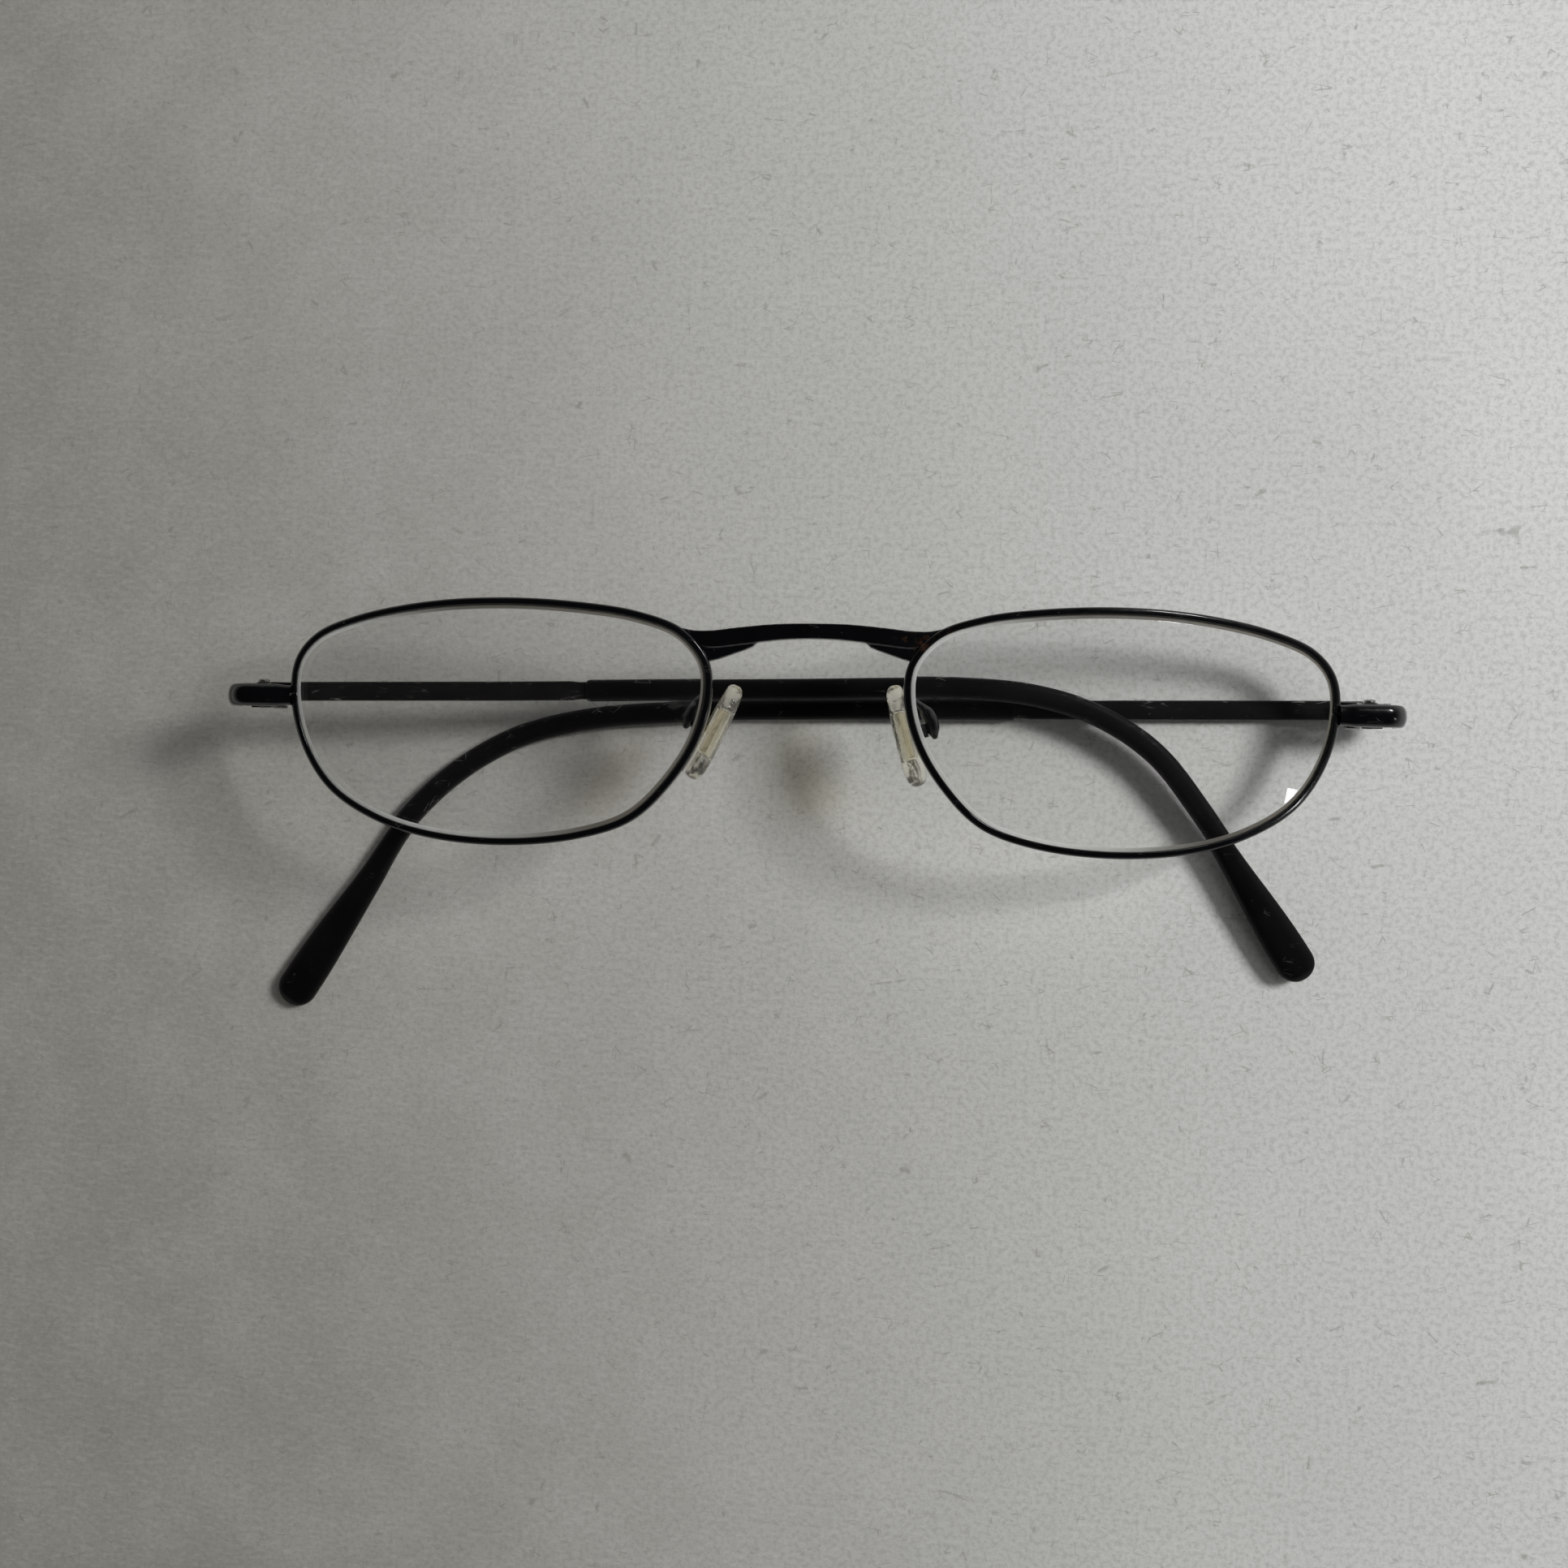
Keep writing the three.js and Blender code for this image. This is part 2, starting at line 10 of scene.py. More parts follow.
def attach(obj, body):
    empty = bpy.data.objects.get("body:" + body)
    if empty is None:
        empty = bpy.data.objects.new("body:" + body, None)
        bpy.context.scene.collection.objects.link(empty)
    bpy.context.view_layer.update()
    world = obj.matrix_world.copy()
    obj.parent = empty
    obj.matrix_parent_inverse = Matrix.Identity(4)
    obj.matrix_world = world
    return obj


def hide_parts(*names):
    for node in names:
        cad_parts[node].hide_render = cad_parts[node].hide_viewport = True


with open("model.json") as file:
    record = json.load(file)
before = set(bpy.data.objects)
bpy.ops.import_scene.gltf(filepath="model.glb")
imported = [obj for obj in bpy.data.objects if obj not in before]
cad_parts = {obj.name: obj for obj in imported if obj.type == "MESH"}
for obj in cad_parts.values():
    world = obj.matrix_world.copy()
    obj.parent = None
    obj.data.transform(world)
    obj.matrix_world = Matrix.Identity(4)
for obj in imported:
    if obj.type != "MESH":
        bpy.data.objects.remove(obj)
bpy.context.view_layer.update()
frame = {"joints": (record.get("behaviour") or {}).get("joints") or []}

# Folding reading glasses: a black metal front, two clear lenses, clear nose pads and two hinged
# temples with plastic tips. Shapes are drawn in millimetres, in the same frames as the CAD model.

# ---------------------------------------------------------------- dimensions shared with the CAD

LENS_SPACING = 68
WRAP = math.radians(6)
BASE_RADIUS = 106
RIM_WIDTH = 0.8
RIM_DEPTH = 1.9
GROOVE_DEPTH = 0.35
GROOVE_HALF = 0.55
SPLIT_Y = 1.03
SPLIT_GAP = 0.3

LENS_THICKNESS = 2.4
LENS_BACK_RADIUS = 184
LENS_RISE = 0.65
LENS_INSET = 0.44
BEVEL_TIP_INSET = 0.12
FACET_WIDTH = 0.42
FACET_DEPTH = 0.16

BRIDGE_Z = -0.55
BRIDGE_BOW = 240
BRIDGE_SHIFT = 0.3
BRIDGE_LEAN = math.radians(0.7)

END_FRONT_Z = -4.7
END_REAR_Z = -8.4
END_OUTER_X = 66.15
END_THICKNESS = 1.3
END_HEIGHT = 2.5
END_DROP = 0.13
END_BEND = 2.6
END_START_X = 58.35
END_DOME = 0.75
CLOSING_X = 60.2
CLOSING_Z = -7.05
CLOSING_BORE = 0.42

PIN = Vector((62.6, SPLIT_Y, -8.55))
HINGE_TILT = math.radians(1.1)
KNUCKLE_RADIUS = 0.9
KNUCKLE_MIDDLE = 0.4               # half the height of the temple's knuckle
KNUCKLE_LOW = 0.55                 # where the front's two knuckles begin and end, from the middle
KNUCKLE_HIGH = 1.45
HINGE_BORE = 0.46

ARM_OFFSET = 2.7
ARM_HEIGHT = 2.15
ARM_THICKNESS = 1.0
TIP_THICKNESS = 2.0
TIP_HALF_HEIGHT = 1.22
BUTT = 0.15

PAD_LENGTH = 11.6
PAD_WIDTH = 6.4
PAD_THICKNESS = 2.0
PAD_TAPER = 0.34                   # half width at the upper end, as a share of the pad's width
PAD_PIVOT = 1.75
PAD_BORE = 0.37
WIRE_RADIUS = 0.36
KNOB_SWELL = 0.39
PAD_YAW = math.radians(14)
PAD_Y = -2.35
PAD_Z = -5.4

LEAN = math.radians(4.6)           # the front leans because the outer temple lies flat

WIRE_STEPS = 260
LENS_STEPS = 160
LENS_ROWS = 18
BRIDGE_VOXEL = 0.12
BRIDGE_FINE_VOXEL = 0.1

EYE_OUTLINE = [
    (24.1, 1.0), (23.6, 5.0), (21.3, 7.6), (16.4, 9.5), (8.1, 11.0), (-0.3, 11.45), (-8.8, 11.05),
    (-15.4, 10.1), (-20.1, 8.35), (-22.8, 5.2), (-23.2, 1.5), (-21.9, -3.4), (-18.9, -8.2),
    (-14.9, -12.0), (-9.2, -14.0), (-0.8, -14.9), (7.6, -14.3), (14.1, -12.45), (19.4, -9.2),
    (22.6, -4.6),
]

SIDES = {
    "left": dict(
        sign=-1, fold=0.0, pad_x=10.4, splay=math.radians(26), sleeve=36.5,
        paddle=18, swell=0.95,
        route=[(0, 0.5), (30, 0.5), (60, 0.75), (80.8, 0.75), (88.8, -0.15), (95.4, -2.35),
               (101.6, -6.5), (106.7, -12.95), (112.3, -21.65), (117.7, -30.3)]),
    "right": dict(
        sign=1, fold=LEAN, pad_x=10.8, splay=math.radians(15.5), sleeve=38.7,
        paddle=23.5, swell=1.15,
        route=[(0, 0.7), (30, 0.85), (60, 1.1), (76.8, 0.95), (90.8, -0.05), (99, -2.25),
               (106.4, -6.6), (112.5, -12.55), (117.2, -19.55), (121.7, -26.05),
               (126.2, -32.65)]),
}

# ---------------------------------------------------------------- frames

MM = 0.001


def turn(angle, axis):
    return Matrix.Rotation(angle, 4, axis)


def move(x, y, z):
    return Matrix.Translation((x, y, z))


pins = [Vector(j["pos_m"]) / MM for j in frame["joints"] if j["name"].endswith("temple_fold")]
leaned = turn(LEAN, "Y")
FRONT = Matrix.Translation((pins[0] + pins[1]) / 2 - leaned @ Vector((0, PIN.y, PIN.z))) @ leaned


def mirror(side):
    return Matrix.Diagonal((side["sign"], 1, 1, 1))


def on_front(side):
    return FRONT @ mirror(side)


def on_hinge(side):
    return FRONT @ move(side["sign"] * PIN.x, PIN.y, PIN.z) @ turn(HINGE_TILT, "Z") @ mirror(side)


def on_temple(side):
    hinge = FRONT @ move(side["sign"] * PIN.x, PIN.y, PIN.z) @ turn(HINGE_TILT, "Z")
    return hinge @ turn(side["sign"] * (math.pi - side["fold"]), "Y") @ mirror(side)


def pad_place(side):
    """From a pad's own frame to the right-hand drawing of the front."""
    return move(side["pad_x"], PAD_Y, PAD_Z) @ turn(side["splay"], "Z") @ turn(-PAD_YAW, "Y")


def on_pad(side):
    return on_front(side) @ pad_place(side)


# ---------------------------------------------------------------- curves and meshes

def smooth_curve(points, closed=False, fine=60):
    """Many points on the centripetal Catmull-Rom curve through the given ones."""
    p = [np.array(q, float) for q in points]
    p = [p[-1], *p, p[0], p[1]] if closed else [2 * p[0] - p[1], *p, 2 * p[-1] - p[-2]]
    out = []
    for a, b, c, d in zip(p, p[1:], p[2:], p[3:]):
        t0, t1, t2 = (np.linalg.norm(y - x) ** 0.5 for x, y in ((a, b), (b, c), (c, d)))
        m1 = ((b - a) / t0 - (c - a) / (t0 + t1) + (c - b) / t1) * t1
        m2 = ((c - b) / t1 - (d - b) / (t1 + t2) + (d - c) / t2) * t1
        for t in np.arange(fine) / fine:
            out.append((2 * t**3 - 3 * t**2 + 1) * b + (t**3 - 2 * t**2 + t) * m1
                       + (3 * t**2 - 2 * t**3) * c + (t**3 - t**2) * m2)
    return np.array(out + [p[-2]])


def by_length(curve, distances):
    """Points of a curve at these distances along it."""
    steps = np.concatenate([[0], np.cumsum(np.linalg.norm(np.diff(curve, axis=0), axis=1))])
    d = np.asarray(distances, float)
    inside = np.stack([np.interp(d, steps, curve[:, k]) for k in range(curve.shape[1])], axis=1)
    heading = (curve[-1] - curve[-2]) / np.linalg.norm(curve[-1] - curve[-2])
    beyond = np.clip(d - steps[-1], 0, None)[:, None]
    return inside + beyond * heading


def length_of(curve):
    return float(np.linalg.norm(np.diff(curve, axis=0), axis=1).sum())


def smoothstep(x, low, high):
    t = np.clip((np.asarray(x, float) - low) / (high - low), 0, 1)
    return t * t * (3 - 2 * t)


def loft(rings, closed=False, caps=True):
    """Vertices and faces of a skin over rings of equal count."""
    n, k = len(rings), len(rings[0])
    points = [tuple(p) for ring in rings for p in ring]
    faces = []
    for i in range(n if closed else n - 1):
        a, b = i * k, (i + 1) % n * k
        faces += [(a + j, a + (j + 1) % k, b + (j + 1) % k, b + j) for j in range(k)]
    if caps and not closed:
        faces += [tuple(range(k))[::-1], tuple((n - 1) * k + j for j in range(k))]
    return points, faces


def rounded_rect(half_a, half_b, radius, arc=5):
    """Points round a rectangle with round corners."""
    points = []
    for corner, (sa, sb) in enumerate(((1, 1), (-1, 1), (-1, -1), (1, -1))):
        for i in range(arc + 1):
            angle = math.pi / 2 * (corner + i / arc)
            points.append((sa * (half_a - radius) + radius * math.cos(angle),
                           sb * (half_b - radius) + radius * math.sin(angle)))
    return points


def domed(half_a, half_b, rise, arc=14):
    """A bar's section: flat at the back, bulging forwards by a rise from its edges."""
    points = []
    for i in range(arc + 1):
        angle = math.pi * (i / arc - 0.5)
        points.append((half_a - rise + rise * math.cos(angle) ** 0.8, half_b * math.sin(angle)))
    corner = min(0.3, half_a - rise / 2)
    for quarter, middle_b in ((1, half_b - corner), (2, corner - half_b)):
        for i in range(7):
            angle = math.pi / 2 * (quarter + i / 6)
            points.append((corner - half_a + corner * math.cos(angle),
                           middle_b + corner * math.sin(angle)))
    return points


def squircle(half_a, half_b, power, count=32):
    """Points round a superellipse."""
    angles = 2 * np.pi * np.arange(count) / count
    c, s = np.cos(angles), np.sin(angles)
    return np.stack([half_a * np.sign(c) * np.abs(c) ** (2 / power),
                     half_b * np.sign(s) * np.abs(s) ** (2 / power)], axis=1)


def lathe(profile, count=40):
    """A closed solid turned about Y from (radius, height) pairs; those on the axis are left out."""
    body = [(r, y) for r, y in profile if r > 0]
    rings = [[(r * math.cos(a), y, r * math.sin(a)) for a in 2 * np.pi * np.arange(count) / count]
             for r, y in body]
    return loft(rings)


def cylinder(radius, low, high, count):
    return lathe([(radius, low), (radius, high)], count)


def block(low, high):
    corners = [(x, y, z) for x in (low[0], high[0]) for y in (low[1], high[1])
               for z in (low[2], high[2])]
    faces = [(0, 1, 3, 2), (4, 6, 7, 5), (0, 4, 5, 1), (2, 3, 7, 6), (0, 2, 6, 4), (1, 5, 7, 3)]
    return corners, faces


def placed(shape, place):
    return [place @ Vector(p) for p in shape[0]], shape[1]


def plate(outline, low, high):
    """An outline in x and y, made solid between two heights."""
    rings = [[(x, y, z) for x, y in outline] for z in (low, high)]
    return loft(rings)


def new_object(name, shape, place=None):
    points, faces = shape
    mesh = bpy.data.meshes.new(name)
    mesh.from_pydata([place @ Vector(p) if place else Vector(p) for p in points], [], faces)
    bm = bmesh.new()
    bm.from_mesh(mesh)
    bmesh.ops.recalc_face_normals(bm, faces=bm.faces)
    bm.to_mesh(mesh)
    bm.free()
    obj = bpy.data.objects.new(name, mesh)
    bpy.context.scene.collection.objects.link(obj)
    return obj


def modify(obj, kind, **settings):
    modifier = obj.modifiers.new(kind.title(), kind)
    for key, value in settings.items():
        setattr(modifier, key, value)
    return modifier


def rounded_block(name, low, high, width, segments=3):
    obj = new_object(name, block(low, high))
    modify(obj, "BEVEL", width=width, segments=segments, limit_method="ANGLE")
    return settle(obj)


def settle(obj):
    """Makes what the modifiers give the object's own mesh."""
    evaluated = obj.evaluated_get(bpy.context.evaluated_depsgraph_get())
    mesh = bpy.data.meshes.new_from_object(evaluated)
    obj.modifiers.clear()
    obj.data = mesh
    return obj


def combine(obj, shapes, operation):
    for shape in shapes:
        tool = new_object("tool", shape)
        modify(obj, "BOOLEAN", operation=operation, object=tool, solver="EXACT")
        settle(obj)
        bpy.data.objects.remove(tool)
    return obj


def finish_piece(obj, place, body, nodes, materials, crease=38):
    obj.data.transform(Matrix.Scale(MM, 4) @ place)
    bm = bmesh.new()
    bm.from_mesh(obj.data)
    bmesh.ops.recalc_face_normals(bm, faces=bm.faces)
    bm.to_mesh(obj.data)
    bm.free()
    obj.data.shade_smooth()
    if crease:
        obj.data.set_sharp_from_angle(angle=math.radians(crease))
    obj.data.materials.clear()
    for material in materials:
        obj.data.materials.append(material)
    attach(obj, body)
    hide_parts(*nodes)
    return obj


# ---------------------------------------------------------------- materials

class Look:
    """A procedural material, with textures laid in the object's own frame in millimetres."""

    def __init__(self, name):
        self.material = bpy.data.materials.new(name)
        self.material.use_nodes = True
        self.tree = self.material.node_tree
        self.tree.nodes.clear()
        self.out = self.tree.nodes.new("ShaderNodeOutputMaterial")
        self.shader = self.add("BsdfPrincipled")
        self.link(self.shader.outputs[0], self.out.inputs[0])
        coordinates = self.add("TexCoord")
        in_mm = self.add("Mapping", Scale=(1 / MM,) * 3, Vector=coordinates.outputs["Object"])
        self.place = in_mm.outputs[0]

    def add(self, kind, settings=None, **inputs):
        node = self.tree.nodes.new("ShaderNode" + kind)
        for key, value in (settings or {}).items():
            setattr(node, key, value)
        for key, value in inputs.items():
            self.set(node.inputs[key.replace("_", " ")], value)
        return node

    def link(self, a, b):
        self.tree.links.new(a, b)

    def set(self, socket, value):
        if isinstance(value, bpy.types.NodeSocket):
            self.link(value, socket)
        elif isinstance(value, tuple) and len(value) == 3 and socket.type == "RGBA":
            socket.default_value = (*value, 1)
        else:
            socket.default_value = value

    def surface(self, **inputs):
        for key, value in inputs.items():
            self.set(self.shader.inputs[key.replace("_", " ")], value)

    def moved(self, scale=(1, 1, 1), turned=(0, 0, 0), shift=(0, 0, 0)):
        node = self.add("Mapping", Scale=scale, Rotation=turned, Location=shift, Vector=self.place)
        return node.outputs[0]

    def noise(self, scale, detail=3.0, rough=0.55, at=None, distortion=0.0):
        node = self.add("TexNoise", Scale=scale, Detail=detail, Roughness=rough,
                        Distortion=distortion, Vector=at or self.place)
        return node.outputs["Fac"]

    def cells(self, scale, feature="F1", at=None, randomness=1.0):
        node = self.add("TexVoronoi", {"feature": feature}, Scale=scale, Randomness=randomness,
                        Vector=at or self.place)
        return node.outputs["Distance"]

    def ramp(self, value, low, high, to_low=0.0, to_high=1.0):
        node = self.add("MapRange", {"interpolation_type": "SMOOTHSTEP"}, Value=value)
        for key, number in (("From Min", low), ("From Max", high),
                            ("To Min", to_low), ("To Max", to_high)):
            node.inputs[key].default_value = number
        return node.outputs[0]

    def math(self, operation, a, b=0.0):
        node = self.add("Math", {"operation": operation, "use_clamp": False})
        self.set(node.inputs[0], a)
        self.set(node.inputs[1], b)
        return node.outputs[0]

    def vector(self, operation, a, b):
        """Vector sum on a socket and a constant."""
        node = self.add("VectorMath", {"operation": operation})
        self.link(a, node.inputs[0])
        node.inputs[1].default_value = tuple(b)
        return node

    def mix(self, share, a, b):
        node = self.add("Mix", {"data_type": "RGBA"})
        self.set(node.inputs[0], share)
        self.set(node.inputs[6], a)
        self.set(node.inputs[7], b)
        return node.outputs[2]

    def bump(self, height, strength, depth, under=None):
        node = self.add("Bump", Strength=strength, Distance=depth * MM, Height=height)
        if under is not None:
            self.link(under, node.inputs["Normal"])
        return node.outputs[0]

    def specks(self, scale, size, share):
        """Small round marks on a share of the cells."""
        dots = self.ramp(self.cells(scale), size, size * 0.5)
        chosen = self.ramp(self.noise(scale * 0.37, 1.0), 0.5 + share * 0.1, 0.5 + share * 0.2)
        return self.math("MULTIPLY", dots, chosen)

    def hairlines(self, scale, stretch, angle, width=0.02, share=0.62):
        """Fine broken scratches, mostly one way."""
        at = self.moved(scale=stretch, turned=(0, 0, angle))
        lines = self.ramp(self.cells(scale, "DISTANCE_TO_EDGE", at=at), width, 0.0)
        broken = self.ramp(self.noise(0.45, 2.0), share, share + 0.08)
        return self.math("MULTIPLY", lines, broken)

    def rays(self, centre, radius, count=26):
        """Fibrous marks that run outwards from a point given in millimetres."""
        away = self.vector("SUBTRACT", self.place, centre)
        parts = self.add("SeparateXYZ", Vector=away.outputs[0])
        angle = self.math("ARCTAN2", parts.outputs["Y"], parts.outputs["X"])
        wander = self.math("MULTIPLY", self.noise(0.9, 2.0), 0.5)
        turns = self.add("TexNoise", {"noise_dimensions": "1D"}, Scale=count, Detail=3.0,
                         W=self.math("ADD", angle, wander))
        lines = self.ramp(turns.outputs["Fac"], 0.56, 0.66)
        return self.math("MULTIPLY", lines, self.near(centre, radius, 0.35))

    def near(self, centre, radius, soft=0.5):
        """1 within a radius of a point given in millimetres, 0 beyond it."""
        away = self.vector("DISTANCE", self.place, centre)
        return self.ramp(away.outputs["Value"], radius, radius * soft)

    def clear_to_lamps(self, tint):
        """Lets light through to what is behind, as clear plastic does."""
        open_side = self.add("BsdfTransparent", Color=tint)
        path = self.add("LightPath")
        mix = self.add("MixShader")
        self.link(path.outputs["Is Shadow Ray"], mix.inputs[0])
        self.link(self.shader.outputs[0], mix.inputs[1])
        self.link(open_side.outputs[0], mix.inputs[2])
        self.link(mix.outputs[0], self.out.inputs[0])


def front_point(x, y, z):
    """A point of the front's drawing, in millimetres of the row frame."""
    return FRONT @ Vector((x, y, z))


def black_enamel():
    look = Look("black_enamel")
    cloud = look.noise(0.35, 3.0)
    grain = look.noise(7.0, 4.0)
    marks = look.specks(1.7, 0.1, 0.9)
    scuff = look.hairlines(0.8, (0.25, 2.2, 1.2), 0.3)
    # Copper-brown patch by the bridge's right bracket: a painted warm reflection that stands in for
    # orange glints of light on the enamel.
    warm_glint_patch = look.math("MULTIPLY", look.ramp(look.noise(0.9, 5.0), 0.52, 0.68),
                     look.near(front_point(12.8, 7.4, 0), 4.2))
    colour = look.mix(cloud, (0.0008, 0.0009, 0.0011), (0.002, 0.0022, 0.0028))
    colour = look.mix(look.math("MULTIPLY", warm_glint_patch, 0.5), colour, (0.05, 0.02, 0.008))
    colour = look.mix(look.math("MAXIMUM", marks, look.math("MULTIPLY", scuff, 0.5)), colour,
                      (0.09, 0.09, 0.085))
    rough = look.ramp(cloud, 0.3, 0.7, 0.12, 0.22)
    rough = look.math("ADD", rough, look.math("MULTIPLY", marks, 0.3))
    bump = look.bump(grain, 0.12, 0.01, look.bump(look.noise(1.1, 2.0), 0.25, 0.05))
    look.surface(Base_Color=colour, Roughness=rough, Metallic=0.0, Normal=bump,
                 Specular_IOR_Level=0.35, Coat_Weight=0.6, Coat_Roughness=0.06)
    return look.material


def arm_paint():
    look = Look("satin_arm_paint")
    cloud = look.noise(0.22, 4.0)
    grain = look.noise(11.0, 3.0)
    streaks = look.noise(1.0, 4.0, at=look.moved(scale=(0.25, 3.5, 3.5)))
    dust = look.specks(2.6, 0.13, 1.0)
    big_dust = look.specks(1.0, 0.12, 1.2)
    scuff = look.hairlines(0.7, (0.3, 2.6, 1.5), 0.15, share=0.56)
    marks = look.math("MAXIMUM", look.math("MAXIMUM", dust, big_dust), scuff)
    colour = look.mix(cloud, (0.001, 0.0011, 0.0012), (0.007, 0.0068, 0.0064))
    colour = look.mix(look.ramp(streaks, 0.55, 0.8, 0.0, 0.5), colour, (0.017, 0.016, 0.0145))
    colour = look.mix(look.math("MULTIPLY", marks, 0.8), colour, (0.15, 0.145, 0.135))
    rough = look.ramp(streaks, 0.3, 0.75, 0.34, 0.52)
    bump = look.bump(grain, 0.25, 0.012, look.bump(streaks, 0.2, 0.03))
    look.surface(Base_Color=colour, Roughness=rough, Metallic=0.0, Normal=bump,
                 Specular_IOR_Level=0.2, Coat_Weight=0.04, Coat_Roughness=0.3)
    return look.material


def tip_plastic():
    look = Look("matte_tip_plastic")
    cloud = look.noise(0.16, 4.0)
    grain = look.noise(9.0, 5.0, 0.65)
    dust = look.specks(2.2, 0.11, 0.9)
    scuff = look.hairlines(0.6, (0.5, 2.2, 1.5), 0.6, share=0.6)
    colour = look.mix(cloud, (0.0007, 0.0008, 0.001), (0.0035, 0.0034, 0.0032))
    colour = look.mix(look.math("MULTIPLY", look.math("MAXIMUM", dust, scuff), 0.6), colour,
                      (0.12, 0.118, 0.11))
    rough = look.ramp(cloud, 0.25, 0.75, 0.4, 0.56)
    bump = look.bump(grain, 0.35, 0.02, look.bump(cloud, 0.15, 0.15))
    look.surface(Base_Color=colour, Roughness=rough, Metallic=0.0, Normal=bump,
                 Specular_IOR_Level=0.14, Sheen_Weight=0.02, Sheen_Roughness=0.4)
    return look.material


def screw_steel():
    look = Look("screw_steel")
    cloud = look.noise(2.5, 4.0)
    rings = look.noise(14.0, 2.0)
    colour = look.mix(cloud, (0.16, 0.155, 0.15), (0.42, 0.41, 0.39))
    look.surface(Base_Color=colour, Metallic=1.0, Roughness=look.ramp(cloud, 0.3, 0.7, 0.25, 0.45),
                 Normal=look.bump(rings, 0.3, 0.01))
    return look.material


def lens_clear():
    """Clear plastic with faint scratches, dust and a worn patch by the left lens's inner end."""
    look = Look("lens_plastic_clear")
    scratches = look.math("MAXIMUM", look.hairlines(0.35, (1, 1, 1), 0.5, 0.006, 0.55),
                          look.hairlines(0.5, (0.4, 2.0, 1.0), 1.1, 0.008, 0.6))
    smear = look.noise(0.12, 5.0, 0.6, distortion=0.8)
    dust = look.specks(1.4, 0.05, 0.7)
    worn = look.rays(front_point(-13.3, 0.8, -0.5), 3.4)
    marks = look.math("MAXIMUM", scratches, dust)
    marks = look.math("MAXIMUM", marks, look.math("MULTIPLY", worn, 0.8))
    rough = look.math("ADD", look.ramp(smear, 0.5, 0.75, 0.0, 0.012),
                      look.math("MULTIPLY", marks, 0.1))
    tint = look.mix(marks, (1.0, 1.0, 1.0), (0.8, 0.8, 0.79))
    look.surface(Base_Color=tint, Roughness=rough, Transmission_Weight=1.0, IOR=1.5,
                 Normal=look.bump(marks, 0.2, 0.01))
    look.clear_to_lamps((0.99, 0.99, 0.985))
    return look.material


def lens_edge(name, side):
    """Frosted edge, painted white on its lower left, where the light that crosses the lens from its
    upper right ends, and painted dark grey-brown elsewhere: painted light and shade.
    """
    look = Look(f"{name}_lens_ground_edge")
    middle = front_point(side["sign"] * LENS_SPACING / 2, 0, 0)
    away = look.vector("SUBTRACT", look.place, middle)
    lower_left = look.vector("DOT_PRODUCT", away.outputs[0], (-0.84, -0.54, 0))
    painted_lit_side = look.ramp(lower_left.outputs["Value"], -3, 17)
    cloud = look.noise(1.3, 4.0)
    rings = look.noise(1.0, 3.0, at=look.moved(scale=(0.4, 0.4, 9.0)))
    colour = look.mix(cloud, (0.72, 0.73, 0.7), (0.97, 0.98, 0.95))
    # Painted light and shade: white on the lit lower left, dark grey-brown on the rest of the edge.
    colour = look.mix(painted_lit_side, (0.13, 0.12, 0.1), colour)
    look.surface(Base_Color=colour, Roughness=look.ramp(cloud, 0.3, 0.7, 0.45, 0.65),
                 Transmission_Weight=0.3, IOR=1.5, Normal=look.bump(rings, 0.4, 0.03))
    look.clear_to_lamps((0.8, 0.8, 0.78))
    return look.material


def pad_vinyl():
    look = Look("clear_pad_vinyl")
    cloud = look.noise(0.5, 4.0)
    ripple = look.noise(0.9, 3.0, distortion=0.6)
    colour = look.mix(cloud, (0.985, 0.97, 0.9), (0.97, 0.93, 0.8))
    look.surface(Base_Color=colour, Roughness=look.ramp(cloud, 0.3, 0.7, 0.03, 0.11),
                 Transmission_Weight=0.96, IOR=1.46, Normal=look.bump(ripple, 0.5, 0.12))
    look.clear_to_lamps((0.82, 0.8, 0.72))
    return look.material


def pad_insert_plastic():
    look = Look("pad_insert_plastic")
    cloud = look.noise(1.2, 4.0)
    colour = look.mix(cloud, (0.84, 0.79, 0.64), (0.95, 0.92, 0.82))
    look.surface(Base_Color=colour, Roughness=look.ramp(cloud, 0.3, 0.7, 0.04, 0.14),
                 Transmission_Weight=0.93, IOR=1.5, Normal=look.bump(look.noise(3.0), 0.3, 0.03))
    look.clear_to_lamps((0.7, 0.67, 0.6))
    return look.material


